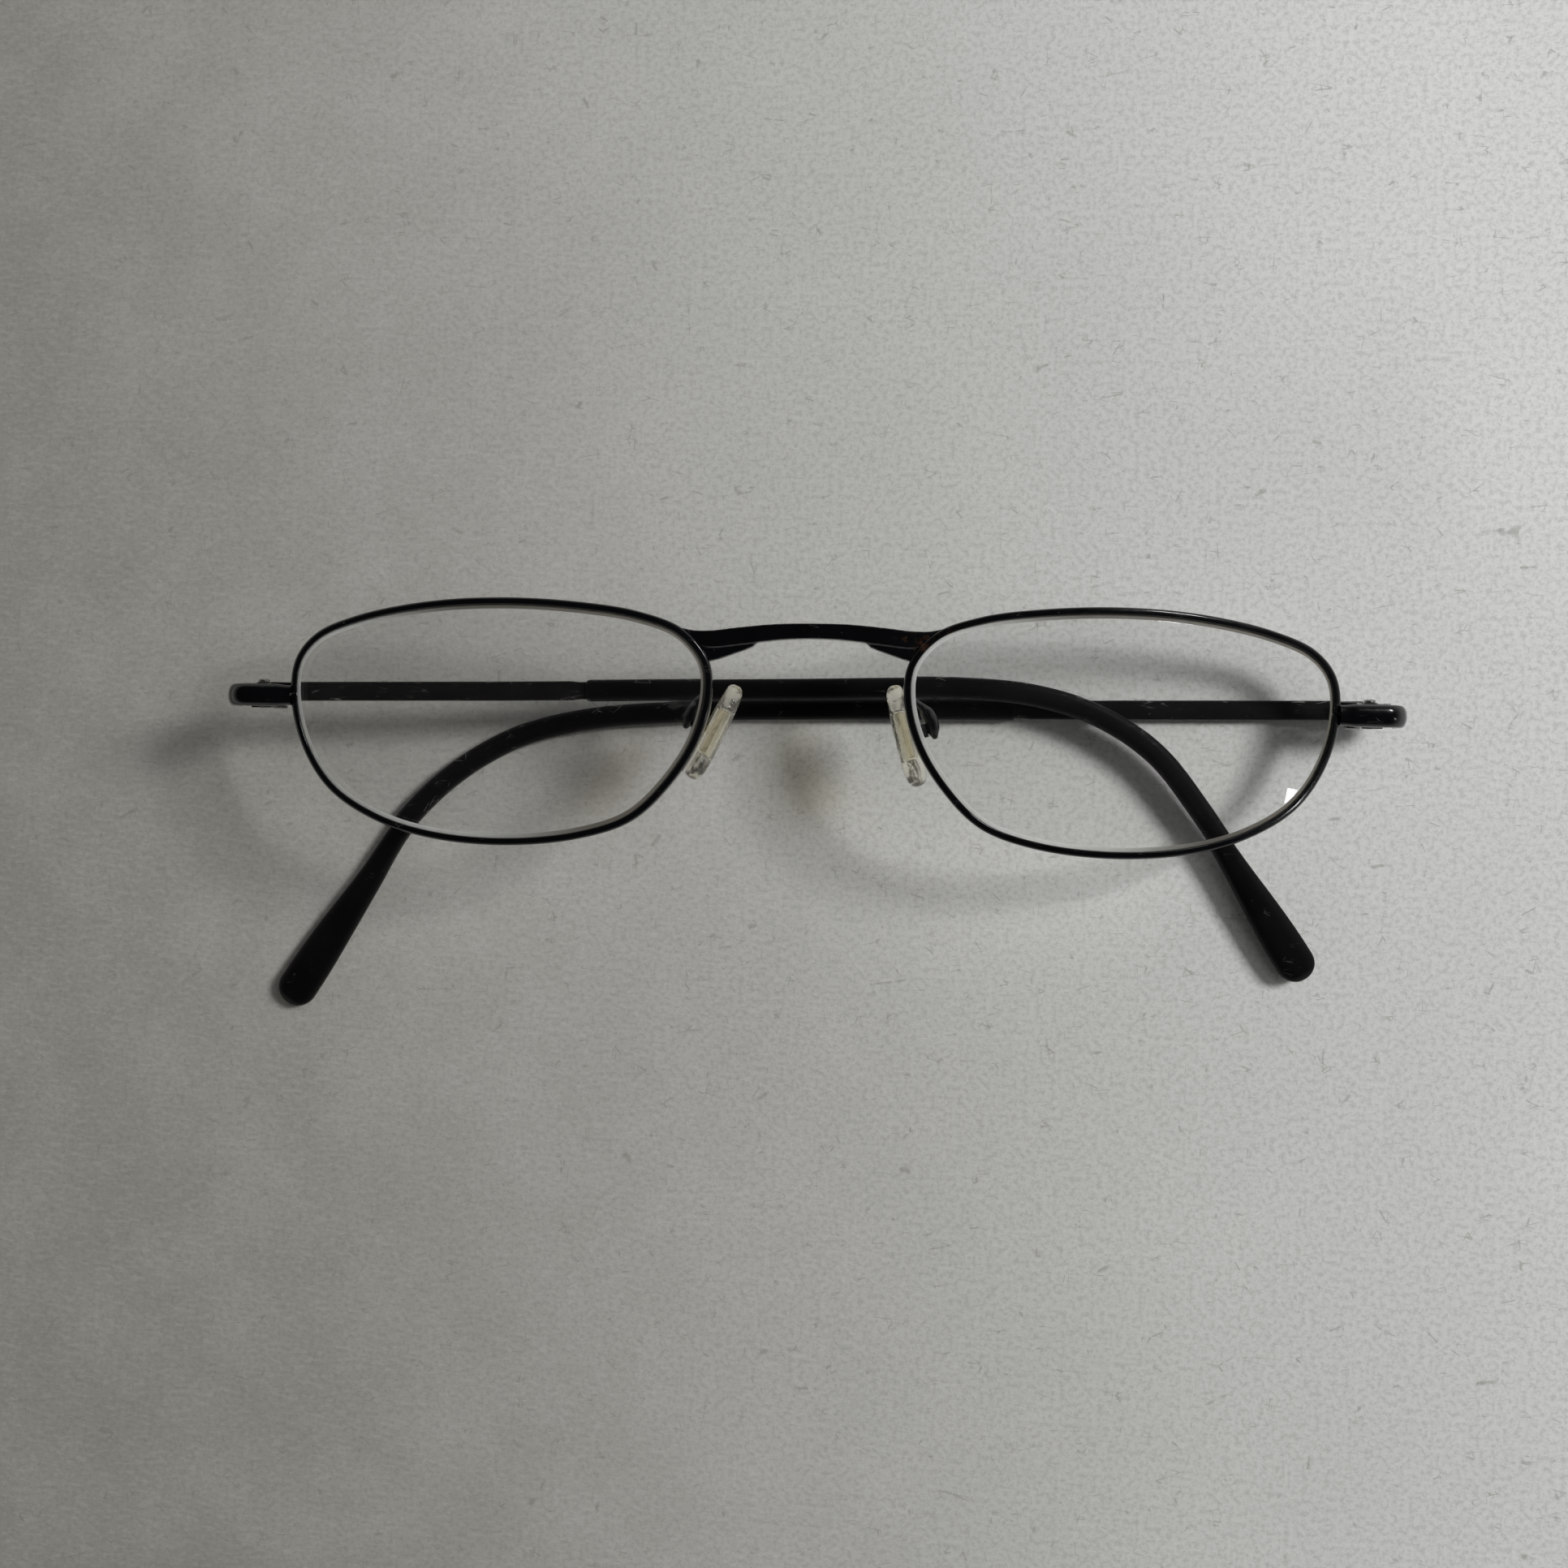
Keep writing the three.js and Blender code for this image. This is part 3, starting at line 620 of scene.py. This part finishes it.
def paper():
    look = Look("pale_paper")
    # Painted light falloff: the paper is coloured warm grey on the left and pale on the right, as
    # light from the window at the right falls off, not a change in the paper.
    spot = look.add("SeparateXYZ", Vector=look.place)
    slant = look.math("MULTIPLY", spot.outputs["Y"], 0.25)
    across = look.ramp(look.math("ADD", spot.outputs["X"], slant), -110, 110)
    broad = look.noise(0.018, 3.0, 0.5)
    mottle = look.noise(0.075, 6.0, 0.62)
    grain = look.noise(1.6, 5.0, 0.7)
    fibres = look.noise(1.1, 3.0, at=look.moved(scale=(0.6, 1.7, 1), turned=(0, 0, 0.5)))
    colour = look.mix(across, (0.34, 0.33, 0.295), (0.74, 0.75, 0.735))
    colour = look.mix(look.ramp(broad, 0.3, 0.7, 0.0, 0.14), colour, (0.3, 0.29, 0.27))
    colour = look.mix(look.ramp(mottle, 0.35, 0.7, 0.0, 0.14), colour, (0.7, 0.69, 0.67))
    colour = look.mix(look.ramp(grain, 0.42, 0.66, 0.0, 0.3), colour, (0.22, 0.21, 0.195))
    colour = look.mix(look.ramp(fibres, 0.45, 0.7, 0.0, 0.08), colour, (0.86, 0.86, 0.84))
    hairs = look.math("MAXIMUM", look.hairlines(0.3, (0.5, 1.8, 1), 0.4, 0.03, 0.57),
                      look.hairlines(0.34, (1.6, 0.45, 1), 0.2, 0.03, 0.6))
    colour = look.mix(look.math("MULTIPLY", hairs, 0.5), colour, (0.24, 0.23, 0.2))
    colour = look.mix(look.math("MULTIPLY", look.specks(0.16, 0.045, 1.4), 0.7), colour,
                      (0.1, 0.09, 0.08))
    look.surface(Base_Color=colour, Roughness=0.92, Specular_IOR_Level=0.2,
                 Normal=look.bump(grain, 0.45, 0.1, look.bump(fibres, 0.2, 0.12)))
    return look.material


ENAMEL = black_enamel()
ARM_PAINT = arm_paint()
TIP_PLASTIC = tip_plastic()
STEEL = screw_steel()
LENS_CLEAR = lens_clear()
VINYL = pad_vinyl()
INSERT = pad_insert_plastic()

# ---------------------------------------------------------------- front: rims and lenses

EYE = smooth_curve(EYE_OUTLINE, closed=True)
EYE_LENGTH = length_of(EYE)


def eye_points(distances, outward):
    """Points of the eye outline, moved outwards by a distance."""
    d = np.asarray(distances, float)
    along = by_length(EYE, (d + 0.05) % EYE_LENGTH) - by_length(EYE, (d - 0.05) % EYE_LENGTH)
    along /= np.linalg.norm(along, axis=1)[:, None]
    return by_length(EYE, d % EYE_LENGTH) + outward * np.stack([along[:, 1], -along[:, 0]], axis=1)


def surface_z(u, v):
    """Height of the middle of the rim groove."""
    return -RIM_DEPTH / 2 - u * math.tan(WRAP) - (u * u + v * v) / (2 * BASE_RADIUS)


def draped(points, height):
    u, v = points[:, 0], points[:, 1]
    return np.stack([u + LENS_SPACING / 2, v, surface_z(u, v) + height], axis=1)


def rim_profile():
    """Section of the rim wire: outwards and forwards, with the groove on its inner side."""
    half, deep, groove = RIM_WIDTH / 2, RIM_DEPTH / 2, GROOVE_HALF
    points = []

    def corner(a, b, radius, start):
        for i in range(7):
            angle = math.radians(start + 15 * i)
            points.append((a + radius * math.cos(angle), b + radius * math.sin(angle)))

    corner(half - 0.3, deep - 0.3, 0.3, 0)
    corner(0.2 - half, deep - 0.2, 0.2, 90)
    points.extend([(-half, groove), (GROOVE_DEPTH - half, groove - 0.35),
                   (GROOVE_DEPTH - half, 0.35 - groove), (-half, -groove)])
    corner(0.2 - half, 0.2 - deep, 0.2, 180)
    corner(half - 0.26, 0.26 - deep, 0.26, 270)
    return points


def make_rim(name, side):
    split = SPLIT_Y - EYE_OUTLINE[0][1]
    along = np.arange(WIRE_STEPS + 1) / WIRE_STEPS
    d = split + SPLIT_GAP / 2 + (EYE_LENGTH - SPLIT_GAP) * along
    columns = [draped(eye_points(d, a), b) for a, b in rim_profile()]
    rings = np.stack(columns, axis=1)
    rim = new_object(f"{name}_rim_wire", loft(rings))
    finish_piece(rim, on_front(side), "front", [f"{name}_rim"], [ENAMEL])


def make_lens(name, side):
    """A lens with a bright facet and a V bevel that sits in the rim's groove."""
    count = LENS_STEPS
    d = EYE_LENGTH * np.arange(count) / count
    edge = eye_points(d, -LENS_INSET)
    tip = eye_points(d, -BEVEL_TIP_INSET)
    thinning = 1 / (2 * BASE_RADIUS) - 1 / (2 * LENS_BACK_RADIUS)

    def back(points):
        return LENS_RISE - LENS_THICKNESS + (points**2).sum(axis=1) * thinning

    shares = np.sin(np.linspace(0.12, 1, LENS_ROWS) * math.pi / 2)
    face = eye_points(d, -LENS_INSET - FACET_WIDTH)
    rings = [draped(face * k, LENS_RISE) for k in shares]
    front_count = len(rings)
    rings += [draped(edge, LENS_RISE - FACET_DEPTH), draped(edge, 0.3), draped(tip, 0.15),
              draped(tip, -0.15), draped(edge, -0.3)]
    edge_bands = len(rings) - front_count + 1
    rings += [draped(edge * k, back(edge * k)) for k in shares[::-1]]
    points, faces = loft(rings, caps=False)
    materials = [0] * ((front_count - 1) * count) + [1] * (edge_bands * count)
    materials += [0] * (len(faces) - len(materials))
    centre = np.zeros((1, 2))
    poles = ((0, LENS_RISE, True), (len(rings) - 1, float(back(centre)[0]), False))
    for ring, height, turned in poles:
        points.append(tuple(draped(centre, height)[0]))
        hub = len(points) - 1
        for j in range(count):
            a, b = ring * count + j, ring * count + (j + 1) % count
            faces.append((hub, b, a) if turned else (hub, a, b))
            materials.append(0)
    lens = new_object(f"{name}_reading_lens", (points, faces))
    lens.data.polygons.foreach_set("material_index", materials)
    finish_piece(lens, on_front(side), "front", [f"{name}_lens"],
                 [LENS_CLEAR, lens_edge(name, side)], crease=30)
    lens.data.polygons.foreach_set("material_index", materials)


# ---------------------------------------------------------------- front: bridge and end pieces

def make_bridge():
    """An arched bar joined to a bracket at each rim, bowed with the front."""
    top = [(0, 9.45), (4, 9.37), (8, 9.02), (11, 8.7), (13, 8.75), (15.5, 9.4)]
    bar_low = [(15.5, 7.7), (13, 7.1), (10.5, 6.9), (8, 7.15), (5.9, 7.4), (2.9, 7.7), (0, 7.8)]
    bracket = [(4.9, 7.9), (5.75, 7.55), (6.35, 6.95), (7.2, 6.6), (10, 5.65), (11.5, 5.3),
               (15.5, 6), (15.5, 8.2), (11, 8.1)]

    def both(half):
        """The right half's outline and its mirror image, as one loop."""
        return half + [(-x, y) for x, y in half[::-1] if x > 0]

    def refined(points):
        out = []
        for (x0, y0), (x1, y1) in zip(points, points[1:] + points[:1]):
            n = max(1, int(math.hypot(x1 - x0, y1 - y0) / 0.4))
            out += [(x0 + (x1 - x0) * i / n, y0 + (y1 - y0) * i / n) for i in range(n)]
        return out

    bar_top = smooth_curve([(-x, y) for x, y in top[:0:-1]] + top, fine=14).tolist()
    bar_under = smooth_curve(bar_low + [(-x, y) for x, y in bar_low[-2::-1]], fine=14).tolist()
    bridge = new_object("bridge_bar", plate(bar_top + bar_under, -0.9, 0.9))
    sides = []
    for sign in (1, -1):
        outline = [(sign * x, y) for x, y in refined(bracket)]
        sides.append(plate(outline, -0.85, 0.62))
    combine(bridge, sides, "UNION")
    modify(bridge, "REMESH", mode="VOXEL", voxel_size=BRIDGE_VOXEL)
    settle(bridge)
    at = np.zeros(len(bridge.data.vertices) * 3, np.float32)
    bridge.data.vertices.foreach_get("co", at)
    at = at.reshape(-1, 3)
    at[:, 1] += at[:, 0] * BRIDGE_LEAN
    at[:, 0] += BRIDGE_SHIFT
    at[:, 2] += BRIDGE_Z - at[:, 0] ** 2 / BRIDGE_BOW
    bridge.data.vertices.foreach_set("co", at.ravel())
    d = EYE_LENGTH * np.arange(200) / 200
    hole = eye_points(d, 0.05)
    for sign in (1, -1):
        outline = [(sign * (u + LENS_SPACING / 2), v) for u, v in hole]
        combine(bridge, [plate(outline, -8, 6)], "DIFFERENCE")
    modify(bridge, "REMESH", mode="VOXEL", voxel_size=BRIDGE_FINE_VOXEL)
    modify(bridge, "SMOOTH", factor=0.5, iterations=9)
    settle(bridge)
    finish_piece(bridge, FRONT, "front", ["bridge"], [ENAMEL], crease=0)


def make_end_piece(name, side):
    """A rounded bar that leaves the rim, turns back and ends at the hinge."""
    middle = END_BEND - END_THICKNESS / 2
    centre_x, centre_z = END_OUTER_X - END_BEND, END_FRONT_Z - END_BEND
    path = [(x, END_FRONT_Z - END_THICKNESS / 2, 0.0)
            for x in np.linspace(END_START_X, centre_x, 14)]
    for i in range(1, 15):
        angle = math.pi / 2 * i / 14
        path.append((centre_x + middle * math.sin(angle), centre_z + middle * math.cos(angle),
                     angle))
    path += [(centre_x + middle, z, math.pi / 2)
             for z in np.linspace(centre_z - 0.2, END_REAR_Z, 6)]
    section = domed(END_THICKNESS / 2, END_HEIGHT / 2, END_DOME)
    rings = []
    for i, (x, z, angle) in enumerate(path):
        neck = float(smoothstep(x, 58.9, 60.1)) if angle == 0 else 1.0
        high = 0.9 + 0.1 * neck
        deep = 0.8 + 0.2 * neck
        close = 0.88 if i == len(path) - 1 else 1.0
        ring = []
        for a, b in section:
            out = (a * deep - (1 - deep) * 0.2) * close
            ring.append((x + out * math.sin(angle), SPLIT_Y - END_DROP + b * high * close,
                         z + out * math.cos(angle)))
        rings.append(ring)
    rings.insert(-1, [(x, y, END_REAR_Z + 0.15) for x, y, z in rings[-2]])
    bar = new_object(f"{name}_end_bar", loft(rings))
    finish_piece(bar, on_front(side), "front", [f"{name}_end_piece"], [ENAMEL])


def make_closing(name, side):
    for part, low, high in (("upper", 0.15, 1.4), ("lower", -1.15, -0.15)):
        lump = rounded_block(f"{name}_closing_{part}", (58.5, SPLIT_Y + low, -7.9),
                             (61.2, SPLIT_Y + high, -6.2), 0.22, 4)
        bore = cylinder(CLOSING_BORE, low - 1, high + 1, 28)
        combine(lump, [placed(bore, move(CLOSING_X, SPLIT_Y, CLOSING_Z))], "DIFFERENCE")
        finish_piece(lump, on_front(side), "front", [f"{name}_closing_block_{part}"],
                     [ENAMEL])


def screw_shape(shank, head, bottom, under, high):
    """A slotted screw along Y with a domed head."""
    top = under + high
    profile = [(0, bottom), (shank * 0.7, bottom), (shank, bottom + 0.15)]
    turns = int((under - bottom - 0.5) / 0.22)
    for i in range(turns):
        y = bottom + 0.2 + 0.22 * i
        profile += [(shank, y), (shank - 0.05, y + 0.07), (shank, y + 0.14)]
    profile += [(shank, under), (head, under), (head, top - 0.14), (head - 0.05, top - 0.07),
                (head * 0.8, top - 0.02), (head * 0.4, top), (0.02, top)]
    return profile


def make_screw(name, node, place, turned, **size):
    screw = new_object(name, lathe(screw_shape(**size)))
    top = size["under"] + size["high"]
    slot = block((-2, top - 0.16, -0.09), (2, top + 1, 0.09))
    combine(screw, [placed(slot, turn(turned, "Y"))], "DIFFERENCE")
    finish_piece(screw, place, "front", [node], [STEEL])


def knuckle(low, high, radius=KNUCKLE_RADIUS):
    edge = 0.1
    return lathe([(0, low), (radius - edge, low), (radius, low + edge), (radius, high - edge),
                  (radius - edge, high), (0, high)], 44)


def make_hinges(name, side):
    """The front's two knuckles on a leaf, and the temple's knuckle between them."""
    bore = cylinder(HINGE_BORE, -2, 2, 32)
    fixed = rounded_block(f"{name}_hinge_fixed", (1.05, -1.3, 0.15), (1.95, 1.3, 1.25), 0.12)
    parts = []
    for low, high in ((KNUCKLE_LOW, KNUCKLE_HIGH), (-KNUCKLE_HIGH, -KNUCKLE_LOW)):
        parts += [knuckle(low, high), block((0, low, 0.15), (1.2, min(high, 1.3), 0.75))]
    combine(fixed, parts, "UNION")
    combine(fixed, [bore], "DIFFERENCE")
    finish_piece(fixed, on_hinge(side), "front", [f"{name}_front_hinge"], [ENAMEL])

    low = -KNUCKLE_MIDDLE
    moving = rounded_block(f"{name}_hinge_moving", (BUTT, low, 1.1), (4.2, 1.4, 1.7), 0.14)
    web = block((BUTT, low, 0), (0.8, KNUCKLE_MIDDLE, 1.5))
    combine(moving, [web, knuckle(low, KNUCKLE_MIDDLE)], "UNION")
    combine(moving, [bore], "DIFFERENCE")
    finish_piece(moving, on_temple(side), f"{name}_temple", [f"{name}_temple_hinge"],
                 [ENAMEL])


# ---------------------------------------------------------------- temples

def sections_along(curve, distances, halves, shape):
    """Rings across a temple's route; halves gives half thickness and half height at each."""
    ahead = by_length(curve, np.asarray(distances) + 0.05)
    behind = by_length(curve, np.asarray(distances) - 0.05)
    middle = by_length(curve, distances)
    rings = []
    for p, a, b, (thick, high) in zip(middle, ahead, behind, halves):
        along = (a - b) / np.linalg.norm(a - b)
        up = np.array([-along[1], along[0]])
        rings.append([(p[0] + up[0] * y * high, p[1] + up[1] * y * high, ARM_OFFSET + x * thick)
                      for x, y in shape])
    return rings


def make_temple(name, side):
    """A flat metal arm and the plastic tip that sleeves its end."""
    curve = smooth_curve(side["route"])
    length = length_of(curve)
    sleeve = side["sleeve"]

    d = [BUTT, BUTT + 0.06, BUTT + 0.2, *np.linspace(1, sleeve - 3, 40),
         *np.linspace(sleeve - 2.6, sleeve + 1.5, 14)]
    halves = []
    for s in d:
        close = 1 - 0.1 * float(s < BUTT + 0.03) - 0.03 * float(s < BUTT + 0.1)
        slim = 1 - 0.1 * float(smoothstep(s, sleeve - 1.6, sleeve - 0.5))
        halves.append((ARM_THICKNESS / 2 * close * slim, ARM_HEIGHT / 2 * close * slim))
    unit = [(x / 0.5, y) for x, y in rounded_rect(0.5, 1.0, 0.26, 5)]
    arm = new_object(f"{name}_arm_bar", loft(sections_along(curve, d, halves, unit)))
    finish_piece(arm, on_temple(side), f"{name}_temple", [f"{name}_temple_arm"],
                 [ARM_PAINT])

    start = sleeve + 0.3
    cap = TIP_HALF_HEIGHT + side["swell"]
    run = np.linspace(start + 0.5, length - 0.3, 120)
    d = [start, start + 0.02, start + 0.1, start + 0.25, *run]
    ends = [length + cap * math.sin(a) for a in np.linspace(0, math.pi / 2, 15)[:-1]]
    halves = []
    for s in [*d, *ends]:
        widened = float(smoothstep(s, length - side["paddle"], length - 0.8))
        high = TIP_HALF_HEIGHT + side["swell"] * widened
        beyond = max(0.0, s - length) / cap
        closing = math.sqrt(max(0.0, 1 - beyond**2))
        lip = 0.86 + 0.14 * math.sqrt(min(1.0, max(0.0, (s - start) / 0.3)))
        thick = TIP_THICKNESS / 2 * min(1.0, 0.25 + closing * 0.95) * (closing**0.35)
        halves.append((thick * lip, high * closing * lip))
    shape = squircle(1, 1, 3.0, 40)
    rings = sections_along(curve, [*d, *ends], halves, shape)
    tip = new_object(f"{name}_tip_sleeve", loft(rings))
    finish_piece(tip, on_temple(side), f"{name}_temple", [f"{name}_temple_tip"],
                 [TIP_PLASTIC], crease=50)


# ---------------------------------------------------------------- nose pads

def pad_outline(inset, count=64):
    """Height and width of a pad, narrower at its upper end."""
    points = []
    for i in range(count):
        angle = 2 * math.pi * i / count
        y, c = math.sin(angle), math.cos(angle)
        wide = PAD_WIDTH * (0.5 + (PAD_TAPER - 0.5) * (y + 1) / 2) - inset
        points.append((y * (PAD_LENGTH / 2 - inset), math.copysign(abs(c) ** 0.8, c) * wide))
    return points


def make_pad(name, side):
    """A clear pad on a stiff core, and the clevis, pin and wire that carry it."""
    half = PAD_THICKNESS / 2
    rows = [(-half, 2.6), (-half + 0.01, 2.0), (-half + 0.05, 1.4), (-half + 0.14, 0.85),
            (-half + 0.3, 0.45), (-half + 0.52, 0.18), (-half + 0.8, 0.03), (0.05, 0.0),
            (half - 0.5, 0.05), (half - 0.22, 0.2), (half - 0.05, 0.45), (half, 0.7)]
    rings = [[(x, y, z) for y, z in pad_outline(inset)] for x, inset in rows]
    pad = new_object(f"{name}_pad_body", loft(rings))
    pocket = rounded_block("pocket", (-0.3, -2.8, -1.6), (2, 2.8, 1.6), 0.25, 4)
    modify(pad, "BOOLEAN", operation="DIFFERENCE", object=pocket, solver="EXACT")
    settle(pad)
    bpy.data.objects.remove(pocket)
    finish_piece(pad, on_pad(side), f"{name}_pad", [f"{name}_nose_pad"], [VINYL])

    core = rounded_block(f"{name}_pad_core", (-0.05, -2.5, -1.3), (0.65, 2.5, 1.3), 0.2, 4)
    lug = block((0.5, -0.5, -0.35), (PAD_PIVOT + 0.45, 0.5, 0.35))
    across = move(PAD_PIVOT, 0, 0) @ turn(math.pi / 2, "X")
    hole = placed(cylinder(PAD_BORE, -1, 1, 28), across)
    combine(core, [lug], "UNION")
    combine(core, [hole], "DIFFERENCE")
    finish_piece(core, on_pad(side), f"{name}_pad", [f"{name}_pad_insert"],
                 [INSERT])

    box = new_object(f"{name}_pad_clevis",
                     block((PAD_PIVOT + 0.65, -0.75, -1), (PAD_PIVOT + 1, 0.75, 1)))
    cheeks = [block((PAD_PIVOT - 0.5, -0.75, z), (PAD_PIVOT + 0.8, 0.75, z + 0.43))
              for z in (0.57, -1)]
    combine(box, cheeks, "UNION")
    modify(box, "BEVEL", width=0.13, segments=3, limit_method="ANGLE")
    settle(box)
    combine(box, [hole], "DIFFERENCE")
    finish_piece(box, on_pad(side), "front", [f"{name}_pad_box"], [ENAMEL])

    make_screw(f"{name}_pad_pin", f"{name}_pad_screw", on_pad(side) @ across, 0.4,
               shank=0.3, head=0.5, bottom=-1.0, under=1.08, high=0.25)

    back = PAD_PIVOT + 1.15 + 0.45
    on_box = [tuple(pad_place(side) @ Vector((back, y, 0))) for y in (1.1, -0.1, -1.2)]
    path = smooth_curve([(10.9, 1.8, -2.2), (11.4, 1.7, -3.6), (12.6, 1, -4.9), *on_box])
    total = length_of(path)
    rings = []
    for s in [0, 0.05, *np.linspace(0.3, total - 0.4, 40), total - 0.2, total - 0.08,
              total - 0.01]:
        p = by_length(path, [s - 0.03, s, s + 0.03])
        along = Vector(p[2] - p[0]).normalized()
        across = along.cross(Vector((0, 1, 0.3))).normalized()
        other = along.cross(across)
        left = total - s
        swell = float(smoothstep(s, 3.2, 4.6)) * float(smoothstep(left, 0.2, 1.2))
        thick = WIRE_RADIUS + KNOB_SWELL * swell
        radius = thick * math.sqrt(max(0.02, 1 - max(0.0, 1 - left / thick) ** 2))
        rings.append([Vector(p[1]) + radius * (across * math.cos(a) + other * math.sin(a))
                      for a in 2 * np.pi * np.arange(20) / 20])
    wire = new_object(f"{name}_pad_arm", loft(rings))
    finish_piece(wire, on_front(side), "front", [f"{name}_pad_wire"], [ENAMEL])


# ---------------------------------------------------------------- assembly

make_bridge()
for name, side in SIDES.items():
    make_rim(name, side)
    make_lens(name, side)
    make_end_piece(name, side)
    make_closing(name, side)
    make_hinges(name, side)
    make_temple(name, side)
    make_pad(name, side)
    make_screw(f"{name}_closing_pin", f"{name}_closing_screw",
               on_front(side) @ move(CLOSING_X, SPLIT_Y, CLOSING_Z) @ turn(math.pi, "X"), 0.7,
               shank=0.35, head=0.85, bottom=-1.1, under=1.25, high=0.35)
    make_screw(f"{name}_hinge_pin", f"{name}_hinge_screw", on_hinge(side), 1.1,
               shank=0.4, head=0.64, bottom=-1.4, under=1.5, high=0.32)

# ---------------------------------------------------------------- room, camera and light

FLOOR_HALF = 0.6
corners = [(x * FLOOR_HALF, y * FLOOR_HALF, 0) for x, y in ((-1, -1), (1, -1), (1, 1), (-1, 1))]
floor = new_object("floor", (corners, [(0, 1, 2, 3)]))
floor.data.materials.append(paper())

CAMERA_AT = Vector((4.69, -7.86, 174.31))
CAMERA_TURN = Vector((0, math.radians(2.31), math.radians(1.21)))
camera_data = bpy.data.cameras.new("camera")
camera_data.sensor_width = 36
camera_data.lens = 37.08
camera_data.clip_start = 0.01
camera = bpy.data.objects.new("camera", camera_data)
bpy.context.scene.collection.objects.link(camera)
turned = Matrix.Rotation(CAMERA_TURN.length, 4, CAMERA_TURN.normalized())
seen_from = FRONT @ Matrix.Translation(CAMERA_AT) @ turned
camera.matrix_world = Matrix.Translation(seen_from.translation * MM) @ seen_from.to_3x3().to_4x4()
bpy.context.scene.camera = camera


def lamp(name, at, size, power, glint=False):
    """A lamp aimed at the origin. It lights the surfaces, or only shows in the glossy ones."""
    data = bpy.data.lights.new(name, "AREA")
    data.shape = "RECTANGLE"
    data.size, data.size_y = size
    data.energy = power
    obj = bpy.data.objects.new(name, data)
    bpy.context.scene.collection.objects.link(obj)
    obj.location = at
    obj.visible_glossy = glint
    obj.visible_diffuse = not glint
    obj.visible_transmission = False
    obj.rotation_mode = "QUATERNION"
    obj.rotation_quaternion = Vector(at).to_track_quat("Z", "Y")


lamp("window", (0.635, 0.235, 0.56), (0.2, 0.2), 6.1)
lamp("sky", (0.5, 0.15, 0.7), (0.8, 0.8), 1.7)
lamp("glint_high", (0.47, 0.44, 0.55), (0.15, 0.07), 1.3, glint=True)
lamp("glint_lens", (0.443, -0.066, 0.313), (0.032, 0.022), 0.03, glint=True)
lamp("glint_lens_low", (0.452, -0.08, 0.3), (0.012, 0.05), 0.022, glint=True)

# The room is dark overhead, where whoever looks at the glasses stands, and pale at the sides.
world = bpy.data.worlds.new("room")
world.use_nodes = True
tree = world.node_tree
background = tree.nodes["Background"]
direction = tree.nodes.new("ShaderNodeTexCoord")
height = tree.nodes.new("ShaderNodeSeparateXYZ")
shade = tree.nodes.new("ShaderNodeValToRGB")
tree.links.new(direction.outputs["Generated"], height.inputs[0])
tree.links.new(height.outputs["Z"], shade.inputs[0])
tree.links.new(shade.outputs[0], background.inputs[0])
shade.color_ramp.elements[0].position = 0.0
shade.color_ramp.elements[0].color = (0.62, 0.62, 0.6, 1)
shade.color_ramp.elements[1].position = 0.6
shade.color_ramp.elements[1].color = (0.016, 0.016, 0.017, 1)
background.inputs[1].default_value = 1.0
bpy.context.scene.world = world
bpy.context.scene.view_settings.view_transform = "Standard"
cycles = bpy.context.scene.cycles
cycles.max_bounces = 16
cycles.transmission_bounces = 14
cycles.caustics_reflective = False
